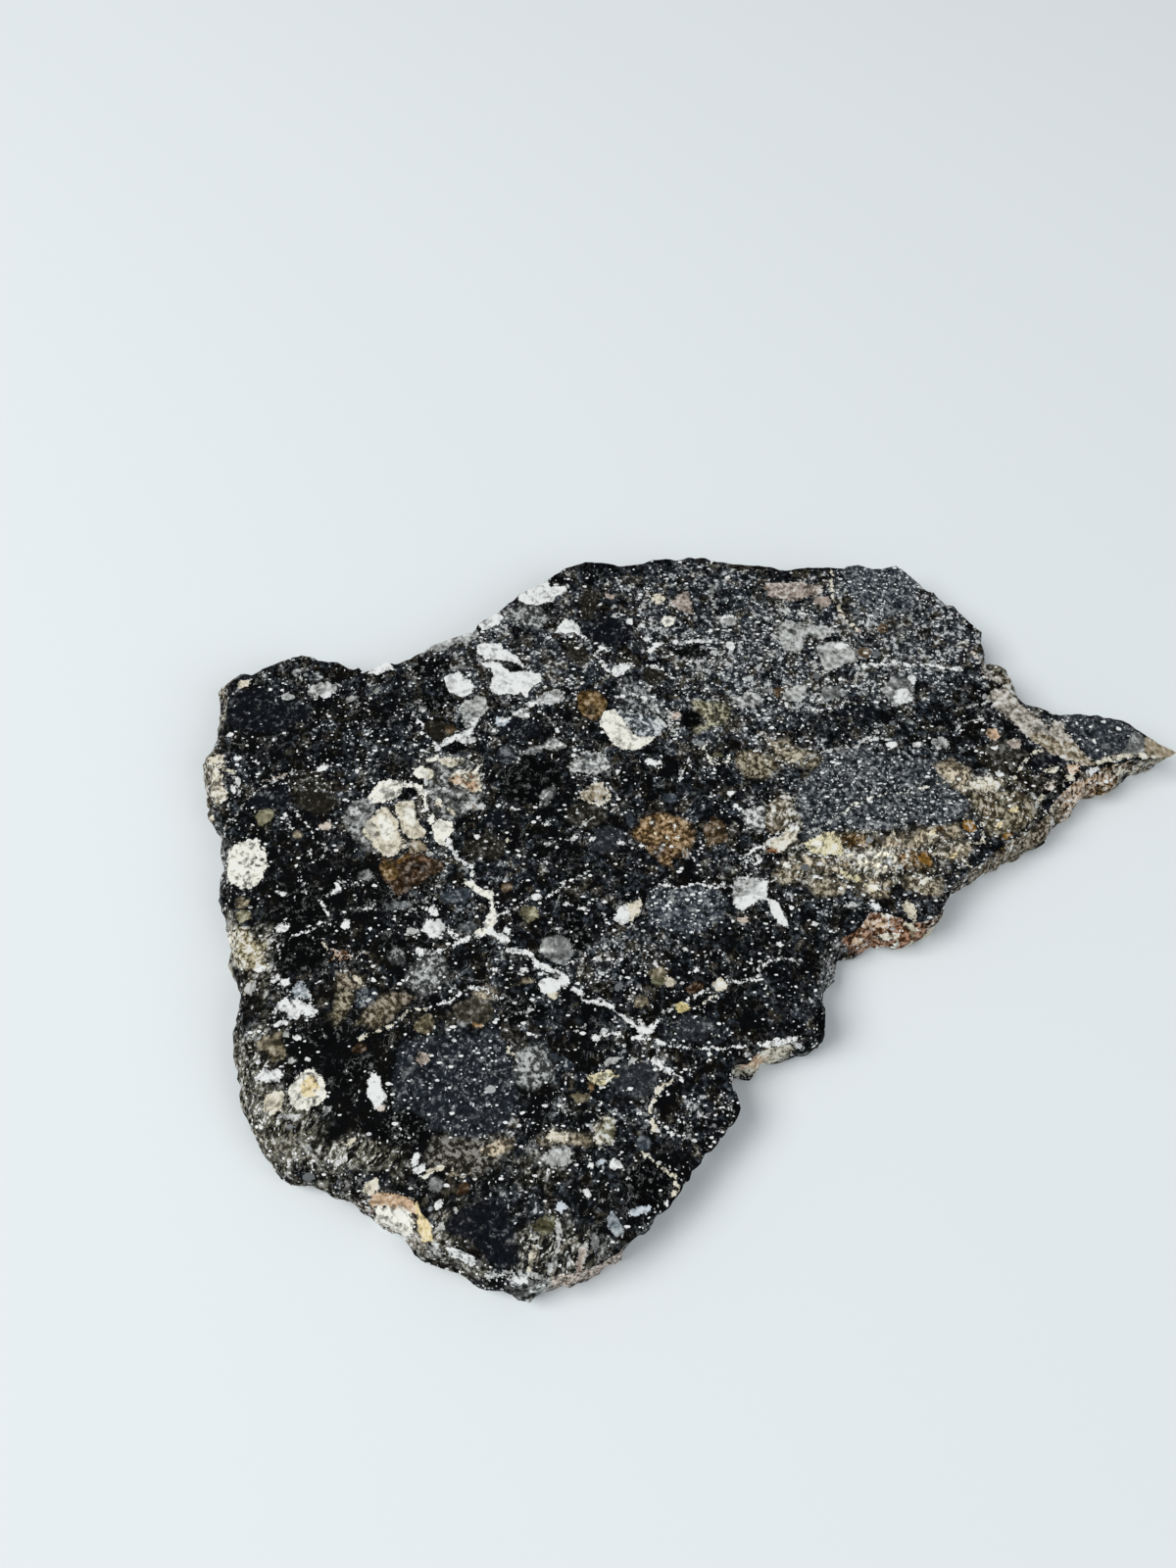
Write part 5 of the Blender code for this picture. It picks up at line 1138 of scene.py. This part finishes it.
def roughen(bm, box):
    """Nicks the sawn edges and gives the rim its grain and small chips, inside the solid's box."""
    bm.normal_update()
    verts = bm.verts[:]
    points = np.array([v.co for v in verts])
    normals = np.array([v.normal for v in verts])
    nicked = shaken(shaken(points, EDGE_NICK, 0.9, 41), EDGE_NICK, 0.35, 43)
    free = np.clip(np.minimum(points[:, 2], TOP - points[:, 2]) / 0.35, 0.0, 1.0)
    grain = (0.55 * ripple(points, 0.9, 47) + 0.35 * ripple(points, 0.42, 53)
             + 0.30 * ripple(points, 0.22, 59) - 0.25)
    x, y, reach, out = LEDGE
    bulge = out * np.exp(-((points[:, 0] - x) ** 2 + (points[:, 1] - y) ** 2) / reach ** 2)
    nicked += normals * ((RIM_GRAIN * grain + bulge) * free)[:, None]
    nicked = np.clip(nicked, box[0], box[1])
    for v, place in zip(verts, nicked):
        v.co = place
    bm.normal_update()


def rims(bm):
    """The two closed edges of the rim as arrays of points in order: the top one, the bottom one."""
    loops = []
    ahead = {}
    for e in bm.edges:
        if e.is_boundary:
            loop = e.link_loops[0]
            ahead[loop.link_loop_next.vert] = loop.vert
    while ahead:
        start = vert = next(iter(ahead))
        places = []
        while True:
            places.append(vert.co.copy())
            vert = ahead.pop(vert)
            if vert == start:
                break
        loops.append(np.array(places))
    return sorted(loops, key=lambda p: -p[:, 2].mean())


def lattice(outline, spacing):
    """Points on a triangle lattice inside the outline, and the triangles between them."""
    rise = spacing * math.sqrt(3) / 2
    lo, hi = outline.min(0), outline.max(0)
    rows = int((hi[1] - lo[1]) / rise) + 2
    cols = int((hi[0] - lo[0]) / spacing) + 3
    row, col = np.mgrid[0:rows, 0:cols]
    x = lo[0] + (col - 1 + 0.5 * (row % 2)) * spacing
    y = lo[1] + (row + 0.5) * rise
    after = np.roll(outline, -1, axis=0)
    tree = kdtree.KDTree(len(outline))
    for i, place in enumerate(outline):
        tree.insert((place[0], place[1], 0.0), i)
    tree.balance()
    keep = np.zeros(x.shape, bool)
    for r in range(rows):
        level = y[r, 0]
        hit = (outline[:, 1] > level) != (after[:, 1] > level)
        a, b = outline[hit], after[hit]
        cuts = np.sort(a[:, 0] + (level - a[:, 1]) * (b[:, 0] - a[:, 0]) / (b[:, 1] - a[:, 1]))
        keep[r] = np.searchsorted(cuts, x[r]) % 2 == 1
        for i in np.nonzero(keep[r])[0]:
            edge = np.abs(cuts - x[r, i]).min()
            if edge < 6 * spacing or level - lo[1] < spacing or hi[1] - level < spacing:
                keep[r, i] = tree.find((x[r, i], level, 0.0))[2] > 0.75 * spacing
    return x, y, keep


def lattice_triangles(keep):
    """Triangles of the lattice whose three corners are kept, as rows of point numbers."""
    rows, cols = keep.shape
    row, col = np.mgrid[0:rows - 1, 0:cols - 1]
    row, col = row.ravel(), col.ravel()
    here, right = row * cols + col, row * cols + col + 1
    up, up_right = here + cols, right + cols
    even = (row % 2 == 0)[:, None]
    first = np.where(even, np.column_stack([here, right, up]),
                     np.column_stack([here, right, up_right]))
    second = np.where(even, np.column_stack([right, up_right, up]),
                      np.column_stack([here, up_right, up]))
    triangles = np.vstack([first, second])
    return triangles[keep.ravel()[triangles].all(axis=1)]


def open_edges(triangles):
    """Edges that only one triangle has."""
    edges = np.vstack([triangles[:, [0, 1]], triangles[:, [1, 2]], triangles[:, [2, 0]]])
    ordered = np.sort(edges, axis=1)
    _, first, count = np.unique(ordered, axis=0, return_index=True, return_counts=True)
    return edges[first[count == 1]]


def filled(outline, spacing):
    """A flat mesh of small even triangles that meets every point of the outline."""
    x, y, keep = lattice(outline, spacing)
    triangles = lattice_triangles(keep)
    used, numbers = np.unique(triangles, return_inverse=True)
    triangles = numbers.reshape(-1, 3)
    inner = np.column_stack([x.ravel()[used], y.ravel()[used]])
    border = open_edges(triangles)
    ring, border = np.unique(border, return_inverse=True)
    border = border.reshape(-1, 2)
    n = len(outline)
    band_points = [Vector(p) for p in np.vstack([outline, inner[ring]])]
    outer_edges = [(i, (i + 1) % n) for i in range(n)]
    band_edges = outer_edges + [(int(a) + n, int(b) + n) for a, b in border]
    places, _, faces, origins, _, _ = delaunay_2d_cdt(band_points, band_edges, [], 0, 1e-7, True)
    middles = np.array([[sum(places[i].x for i in f) / 3, sum(places[i].y for i in f) / 3]
                        for f in faces])
    in_outline = inside(middles[:, 0], middles[:, 1], outline, np.roll(outline, -1, axis=0))
    in_lattice = inside(middles[:, 0], middles[:, 1],
                        inner[ring][border[:, 0]], inner[ring][border[:, 1]])
    number = [len(inner) + o[0] if o[0] < n else int(ring[o[0] - n]) for o in origins]
    band = [[number[i] for i in f] for f, out, ins in zip(faces, in_outline, in_lattice)
            if out and not ins]
    points = np.vstack([inner, outline])
    triangles = np.vstack([triangles, np.array(band)])
    a, b, c = (points[triangles[:, i]] for i in range(3))
    turn = (b[:, 0] - a[:, 0]) * (c[:, 1] - a[:, 1]) - (b[:, 1] - a[:, 1]) * (c[:, 0] - a[:, 0])
    triangles[turn < 0] = triangles[turn < 0][:, ::-1]
    return points, triangles


def build(name, points, triangles, material):
    """One piece of the slice's skin, with its markings kept on its points."""
    mesh = bpy.data.meshes.new(name)
    mesh.vertices.add(len(points))
    mesh.vertices.foreach_set("co", (points * MM).ravel())
    mesh.loops.add(triangles.size)
    mesh.loops.foreach_set("vertex_index", triangles.ravel())
    mesh.polygons.add(len(triangles))
    mesh.polygons.foreach_set("loop_start", np.arange(0, triangles.size, 3))
    mesh.update(calc_edges=True)
    mesh.shade_smooth()
    for kind, layer in all_markings(points).items():
        edge = mesh.attributes.new(kind + "_edge", "FLOAT", "POINT")
        edge.data.foreach_set("value", layer.edge)
        ink = mesh.attributes.new(kind + "_ink", "FLOAT_COLOR", "POINT")
        ink.data.foreach_set("color", layer.ink.ravel())
    for kind in ("specks", "rust", "painted_sheen", "dim", "fibre"):
        amount = mesh.attributes.new(kind, "FLOAT", "POINT")
        amount.data.foreach_set("value", zone(points, kind))
    tint = mesh.attributes.new("rim_ink", "FLOAT_COLOR", "POINT")
    tint.data.foreach_set("color", rim_ink(points).ravel())
    mesh.materials.append(material)
    piece = bpy.data.objects.new(name, mesh)
    bpy.context.scene.collection.objects.link(piece)
    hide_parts(NODE)
    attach(piece, "root")
    return piece


# ---- material

class Graph:
    """Adds shader nodes and links them, so that the material reads as a list of steps."""

    def __init__(self, material):
        material.use_nodes = True
        self.tree = material.node_tree
        self.bsdf = self.tree.nodes["Principled BSDF"]

    def put(self, socket, value):
        if isinstance(value, bpy.types.NodeSocket):
            self.tree.links.new(value, socket)
        elif isinstance(value, str):
            socket.default_value = (*linear(value), 1.0)
        else:
            socket.default_value = value

    def node(self, kind, **settings):
        node = self.tree.nodes.new(kind)
        for key, value in settings.items():
            setattr(node, key, value)
        return node

    def math(self, operation, a, b=0.0):
        node = self.node("ShaderNodeMath", operation=operation)
        self.put(node.inputs[0], a)
        self.put(node.inputs[1], b)
        return node.outputs[0]

    def add(self, a, b):
        return self.math("ADD", a, b)

    def times(self, a, b):
        return self.math("MULTIPLY", a, b)

    def step(self, value, low, high):
        """0 below low, 1 above high and smooth between them."""
        node = self.node("ShaderNodeMapRange", interpolation_type="SMOOTHSTEP")
        for socket, given in zip(node.inputs[:3], (value, low, high)):
            self.put(socket, given)
        return node.outputs[0]

    def ramp(self, value, low, high, start=0.0, end=1.0):
        """A straight run from start to end while the value goes from low to high."""
        node = self.node("ShaderNodeMapRange")
        for socket, given in zip(node.inputs[:5], (value, low, high, start, end)):
            self.put(socket, given)
        return node.outputs[0]

    def mix(self, amount, under, over, blend="MIX"):
        node = self.node("ShaderNodeMix", data_type="RGBA", blend_type=blend)
        for socket, given in zip((node.inputs[0], node.inputs[6], node.inputs[7]),
                                 (amount, under, over)):
            self.put(socket, given)
        return node.outputs[2]

    def grey(self, value):
        """The same value for red, green and blue, no less than 0."""
        node = self.node("ShaderNodeCombineColor")
        value = self.math("MAXIMUM", value, 0.0)
        for socket in node.inputs[:3]:
            self.put(socket, value)
        return node.outputs[0]

    def noise(self, place, scale, detail=2.0, roughness=0.5, distortion=0.0):
        node = self.node("ShaderNodeTexNoise")
        self.put(node.inputs["Vector"], place)
        for name, value in (("Scale", scale), ("Detail", detail), ("Roughness", roughness),
                            ("Distortion", distortion)):
            node.inputs[name].default_value = value
        return node.outputs["Fac"]

    def cells(self, place, scale, feature="F1"):
        """Distance to the nearest grain's middle, and three random numbers of that grain."""
        node = self.node("ShaderNodeTexVoronoi", feature=feature)
        self.put(node.inputs["Vector"], place)
        node.inputs["Scale"].default_value = scale
        if feature != "F1":
            return node.outputs["Distance"]
        parts = self.node("ShaderNodeSeparateColor")
        self.tree.links.new(node.outputs["Color"], parts.inputs[0])
        return node.outputs["Distance"], parts.outputs

    def attribute(self, name, output="Fac"):
        return self.node("ShaderNodeAttribute", attribute_name=name).outputs[output]

    def place(self, stretch=(1.0, 1.0, 1.0), turn=0.0, warp=0.0, size=1.0):
        """The object's own place in mm, stretched, turned and shaken."""
        place = self.node("ShaderNodeTexCoord").outputs["Object"]
        node = self.node("ShaderNodeMapping")
        self.put(node.inputs["Vector"], place)
        node.inputs["Scale"].default_value = [s / MM for s in stretch]
        node.inputs["Rotation"].default_value = (0.0, 0.0, turn)
        place = node.outputs[0]
        if warp:
            shake = self.node("ShaderNodeTexNoise")
            self.put(shake.inputs["Vector"], place)
            shake.inputs["Scale"].default_value = 1.0 / size
            shift = self.node("ShaderNodeVectorMath", operation="MULTIPLY_ADD")
            self.tree.links.new(shake.outputs["Color"], shift.inputs[0])
            shift.inputs[1].default_value = (warp,) * 3
            self.tree.links.new(place, shift.inputs[2])
            place = shift.outputs[0]
        return place


def strands(g, angle, length, width):
    """Noise drawn out along one direction: from 0 to 1."""
    node = g.node("ShaderNodeMapping", vector_type="TEXTURE")
    g.put(node.inputs["Vector"], g.place(warp=1.6, size=2.2))
    node.inputs["Rotation"].default_value = (0.0, 0.0, math.radians(angle))
    node.inputs["Scale"].default_value = (length, width, width)
    return g.ramp(g.noise(node.outputs[0], 1.0, 3.0, 0.6, 0.8), 0.44, 0.58)


def toned(g, t, ink, deep=0.2, glow=0.65, lift=1.0):
    """The ink spread by the noise t, partly the grains' own tone: near 0 darkened as painted shadow between
    grains, at 0.5 itself, near 1 lifted towards white as painted glints.
    """
    painted_shadow = g.mix(1.0, ink, (deep, deep, deep, 1.0), "MULTIPLY")
    painted_glint = g.mix(1.0, ink, (lift, lift, lift, 1.0), "MULTIPLY")
    colour = g.mix(g.ramp(t, 0.0, 0.5), painted_shadow, ink)
    return g.mix(g.ramp(t, 0.5, 1.0), colour, g.mix(glow, painted_glint, "white"))


def fleck_and_glint_layer(g, colour, place, scale, size, density):
    """Pale grains and painted glints of up to this size in mm, white and grey, more of them where the density is
    high.
    """
    away, chance = g.cells(place, scale)
    radius = g.times(g.add(g.math("POWER", chance[0], 2.0), 0.35), 0.5 * size * scale)
    mask = g.step(g.math("SUBTRACT", radius, away), -0.012 * scale, 0.02 * scale)
    mask = g.times(mask, g.step(g.math("SUBTRACT", density, chance[1]), -0.01, 0.01))
    ink = g.mix(g.step(chance[2], 0.10, 0.60), "smoke", "white")
    return g.mix(mask, colour, ink)


def clast_layer(g, colour, kind, ragged, grit, dust, blotch, mottle, softness, strength,
                glow, lift):
    """Draws one layer of markings over the colour, with ragged edges and grain inside."""
    ink = g.attribute(kind + "_ink", "Color")
    grain = g.attribute(kind + "_ink", "Alpha")
    edge = g.add(g.attribute(kind + "_edge"), ragged)
    fine = g.step(grain, 0.80, 0.95)
    halo = g.add(g.times(fine, -0.35), 0.60)
    colour = g.mix(g.times(g.step(edge, -0.20, 0.0), halo), colour, "black")
    softness = g.add(g.times(fine, 0.22), softness)
    mask = g.times(g.step(edge, g.times(softness, -1.0), softness), strength)
    swing = g.add(g.add(g.times(grain, 1.10), 0.30), g.times(fine, 0.45))
    grit = g.add(g.times(grit, g.add(g.times(fine, -0.55), 1.0)), g.times(dust, g.times(fine, 0.55)))
    t = g.add(g.times(g.math("SUBTRACT", grit, 0.5), swing), 0.5)
    uneven = g.times(g.ramp(blotch, 0.0, 1.0, -mottle, 0.6 * mottle), g.add(grain, 0.8))
    t = g.add(t, uneven)
    return g.mix(mask, colour, toned(g, t, ink, 0.18, glow, lift)), mask


def stone(name, rim=False):
    material = bpy.data.materials.new(name)
    g = Graph(material)
    flat = g.place()
    specks, rust, painted_sheen, dim, fibre = (g.attribute(n) for n in
                                      ("specks", "rust", "painted_sheen", "dim", "fibre"))

    # noises that several steps share
    crumb = g.ramp(g.noise(flat, 2.7, 3.0, 0.60, 0.3), 0.40, 0.61)
    dust = g.ramp(g.noise(g.place(turn=0.7), 3.6, 2.0, 0.6), 0.38, 0.61)
    grit = g.add(g.times(crumb, 0.55), g.times(dust, 0.45))
    blotch = g.ramp(g.noise(g.place(turn=0.4), 1.3, 4.0, 0.62, 0.3), 0.36, 0.64)
    cloud = g.ramp(g.noise(flat, 0.42, 4.0, 0.6), 0.34, 0.66)
    ragged = g.add(g.ramp(g.noise(flat, 2.6, 3.0, 0.6), 0.0, 1.0, -0.20, 0.20),
                   g.ramp(g.noise(flat, 8.0, 2.0), 0.0, 1.0, -0.15, 0.15))

    # the near-black ground: smooth black bits in a crumbly grey cement
    _, large = g.cells(g.place(warp=0.9, size=1.2), 0.62)
    _, small = g.cells(g.place(warp=0.45, size=0.6), 1.45)
    cement = g.add(g.times(g.step(large[0], 0.25, 0.9), 0.32),
                   g.times(g.step(small[0], 0.30, 0.9), 0.36))
    cement = g.add(g.add(cement, g.times(cloud, 0.28)), g.times(blotch, 0.35))
    # this zone lifts the cement and the tone: painted sheen over the far part of the face
    cement = g.add(g.times(cement, g.add(g.times(painted_sheen, 0.20), 0.80)), g.times(painted_sheen, 0.28))
    cement = g.times(cement, g.math("SUBTRACT", 1.0, g.times(dim, 0.40)))
    t = g.add(g.times(g.math("POWER", grit, 1.8), g.ramp(cement, 0.15, 1.0, 0.28, 1.28)),
              g.add(g.ramp(cement, 0.2, 1.0, -0.20, 0.06), g.times(painted_sheen, 0.05)))
    tone = g.mix(g.step(small[1], 0.60, 0.95), "coal", "clay")
    tone = g.mix(g.step(small[1], 0.35, 0.10), tone, "slate")
    rusty = g.step(g.add(g.times(rust, 0.8), g.times(blotch, 0.4)), 0.5, 0.95)
    tone = g.mix(g.times(rusty, 0.8), tone, "drab")
    ground = toned(g, t, tone, 0.04, 0.60)
    streak = strands(g, 62.0, 0.95, 0.32)
    strand = g.times(streak, g.add(g.times(dust, 0.9), 0.20))
    strand = g.add(g.times(strand, g.ramp(blotch, 0.0, 1.0, 0.40, 1.50)), -0.06)
    strand = toned(g, strand, "fibre", 0.02, 0.85)
    ground = g.mix(g.step(g.add(fibre, g.times(blotch, 0.3)), 0.35, 0.95), ground, strand)

    if rim:
        # the rim's weathered colour, darkened to near black in the noise's low places as painted crevice shade and
        # lifted in its high places as painted highlights
        patina = g.add(g.attribute("rim_ink", "Alpha"), g.ramp(cloud, 0.0, 1.0, -0.30, 0.30))
        t = g.add(g.times(g.math("POWER", grit, 1.5), 1.35), g.ramp(blotch, 0.0, 1.0, -0.42, 0.20))
        weathered_and_shaded = toned(g, t, g.attribute("rim_ink", "Color"), 0.03, 0.60, 1.5)
        ground = g.mix(g.step(patina, 0.10, 0.70), ground, weathered_and_shaded)
        specks = g.add(specks, 0.5)

    # inside the clasts of those zones, the grain is drawn out too
    drawn = g.times(g.step(g.add(fibre, g.times(blotch, 0.2)), 0.3, 0.8), 0.5)
    keep = g.math("SUBTRACT", 1.0, drawn)
    grain = g.add(g.times(grit, keep), g.times(streak, drawn))
    fine = g.add(g.times(dust, keep), g.times(streak, drawn))

    # darker and bluer clasts
    dark_grain = g.attribute("dark_ink", "Alpha")
    inside_dark = g.step(g.add(g.attribute("dark_edge"), ragged), -0.14, 0.10)
    t = g.add(g.times(g.math("SUBTRACT", dust, 0.5), g.add(g.times(dark_grain, 0.5), 0.2)),
              g.add(g.times(blotch, 0.10), g.ramp(crumb, 0.0, 1.0, 0.20, 0.44)))
    shade = toned(g, t, g.attribute("dark_ink", "Color"), 0.1, 0.55)
    ground = g.mix(g.times(inside_dark, 0.96), ground, shade)

    # coloured clasts, then pale flecks and dashes, partly pale grains and partly painted glints, and threads
    colour, middle = clast_layer(g, ground, "middle", ragged, grain, fine, blotch, 0.24,
                                 0.08, 0.92, 0.22, 2.2)
    near_vein = g.times(g.step(g.attribute("bright_edge"), -0.40, 0.0), 0.25)
    density = g.add(g.add(g.times(specks, 0.35), g.times(cement, 0.35)), near_vein)
    density = g.math("SUBTRACT", density, g.times(middle, 0.25))
    in_clast = g.add(g.times(dark_grain, 0.60), -0.03)
    density = g.add(density, g.times(inside_dark, g.math("SUBTRACT", in_clast, density)))
    for stretch, turn, scale, size in (((1.0, 1.7, 1.0), 0.5, 2.3, 0.30),
                                       ((1.9, 1.0, 1.0), 0.2, 3.1, 0.22),
                                       ((1.0, 1.4, 1.0), 1.2, 3.9, 0.17)):
        colour = fleck_and_glint_layer(g, colour, g.place(stretch, turn, 0.22, 0.35), scale, size, density)
    sparse = g.math("SUBTRACT", g.times(density, 0.5), 0.05)
    colour = fleck_and_glint_layer(g, colour, g.place((1.0, 1.2, 1.0), 0.9, 0.3, 0.5), 0.95, 0.60, sparse)
    thread = g.math("ABSOLUTE", g.math("SUBTRACT", g.noise(flat, 1.0, 4.0, 0.62, 0.6), 0.5))
    thread = g.times(g.math("SUBTRACT", 1.0, g.step(thread, 0.003, 0.014)),
                     g.step(g.noise(flat, 0.8, 2.0), 0.48, 0.62))
    thread = g.times(g.times(thread, g.add(density, 0.2)), g.add(dust, 0.1))
    colour = g.mix(g.math("MINIMUM", g.times(thread, 1.6), 0.9), colour, "pale")

    # white clasts, veins and cracks
    broken = g.times(g.ramp(dust, 0.0, 1.0, -0.20, 0.10), g.attribute("bright_ink", "Alpha"))
    colour, bright = clast_layer(g, colour, "bright", g.add(ragged, broken), grain, fine, blotch,
                                 0.24, 0.03, 1.0, 0.75, 1.0)
    crack = g.step(g.add(g.attribute("crack_edge"), g.times(ragged, 0.6)), -0.05, 0.05)
    crack = g.times(crack, g.attribute("crack_ink", "Alpha"))
    colour = g.mix(crack, colour, toned(g, dust, g.attribute("crack_ink", "Color"), 0.3, 0.06))

    roughness = g.ramp(g.noise(flat, 1.5, 3.0), 0.2, 0.8, 0.50, 0.70)
    height = g.add(g.times(bright, 0.3), g.times(grit, 0.5))
    if rim:
        roughness = g.add(roughness, 0.2)
        height = g.times(height, 2.0)
    bump = g.node("ShaderNodeBump")
    bump.inputs["Strength"].default_value = 0.5
    bump.inputs["Distance"].default_value = 0.04 * MM
    g.put(bump.inputs["Height"], height)
    g.put(g.bsdf.inputs["Base Color"], colour)
    g.put(g.bsdf.inputs["Roughness"], roughness)
    g.put(g.bsdf.inputs["Normal"], bump.outputs[0])
    g.bsdf.inputs["Specular IOR Level"].default_value = 0.03
    return material


# ---- the slice

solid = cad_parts[NODE]
low, high = (np.array(corner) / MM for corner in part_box(NODE))
TOP = float(high[2])

rim = split_solid(solid)
roughen(rim, (low, high))
top_edge, bottom_edge = rims(rim)

face_points, face_triangles = filled(top_edge[:, :2], FACE_SPACING)
under_points, under_triangles = filled(bottom_edge[:, :2], UNDER_SPACING)

face_stone, rim_stone = stone("sawn_stone"), stone("rim_stone", rim=True)


def raised(points, level):
    return np.column_stack([points, np.full(len(points), level)])


def part_of(points, triangles, chosen):
    """The chosen triangles, with only the points that they use."""
    used, numbers = np.unique(triangles[chosen], return_inverse=True)
    return points[used], numbers.reshape(-1, 3)


face_points = raised(face_points, TOP)
middle_x = face_points[face_triangles, 0].mean(axis=1)
for name, chosen in (("sawn_face_left", middle_x < SPLIT_X),
                     ("sawn_face_right", middle_x >= SPLIT_X)):
    build(name, *part_of(face_points, face_triangles, chosen), face_stone)
build("sawn_underside", raised(under_points, 0.0), under_triangles[:, ::-1].copy(), face_stone)

rim.verts.index_update()
rim_points = np.array([v.co for v in rim.verts])
rim_triangles = np.array([[v.index for v in f.verts] for f in rim.faces])
build("weathered_rim", rim_points, rim_triangles, rim_stone)
rim.free()

# ---- floor, light and camera

FLOOR_SIZE = 1.2
bpy.ops.mesh.primitive_plane_add(size=FLOOR_SIZE, location=(0.0, 0.0, -0.00002))
floor = bpy.context.object
floor.name = "floor"
paper = bpy.data.materials.new("floor_paper")
paper.use_nodes = True
paper.node_tree.nodes["Principled BSDF"].inputs["Base Color"].default_value = (0.72, 0.77, 0.79, 1.0)
paper.node_tree.nodes["Principled BSDF"].inputs["Roughness"].default_value = 0.9
floor.data.materials.append(paper)


def area_light(name, place, aim, size, power, colour):
    light = bpy.data.lights.new(name, "AREA")
    light.size = size
    light.energy = power
    light.color = colour
    lamp = bpy.data.objects.new(name, light)
    lamp.location = place
    lamp.rotation_euler = (Vector(aim) - Vector(place)).to_track_quat("-Z", "Y").to_euler()
    bpy.context.scene.collection.objects.link(lamp)


area_light("key_light", (-0.35, -0.05, 0.45), (0.0, 0.0, 0.0), 0.35, 2.6, (1.0, 0.99, 0.97))
area_light("fill_light", (0.40, -0.25, 0.35), (0.0, 0.0, 0.0), 0.40, 1.1, (0.97, 0.98, 1.0))

world = bpy.data.worlds.new("studio")
bpy.context.scene.world = world
world.use_nodes = True
world.node_tree.nodes["Background"].inputs["Color"].default_value = (0.95, 0.97, 1.0, 1.0)
world.node_tree.nodes["Background"].inputs["Strength"].default_value = 0.35

lens = bpy.data.cameras.new("camera")
lens.lens = 27.0
lens.sensor_width = 36.0
lens.clip_start = 0.001
camera = bpy.data.objects.new("camera", lens)
camera.location = Vector(EYE) * MM
camera.rotation_euler = (math.radians(28.0), 0.0, 0.0)
bpy.context.scene.collection.objects.link(camera)
bpy.context.scene.camera = camera
bpy.context.scene.view_settings.view_transform = "Standard"
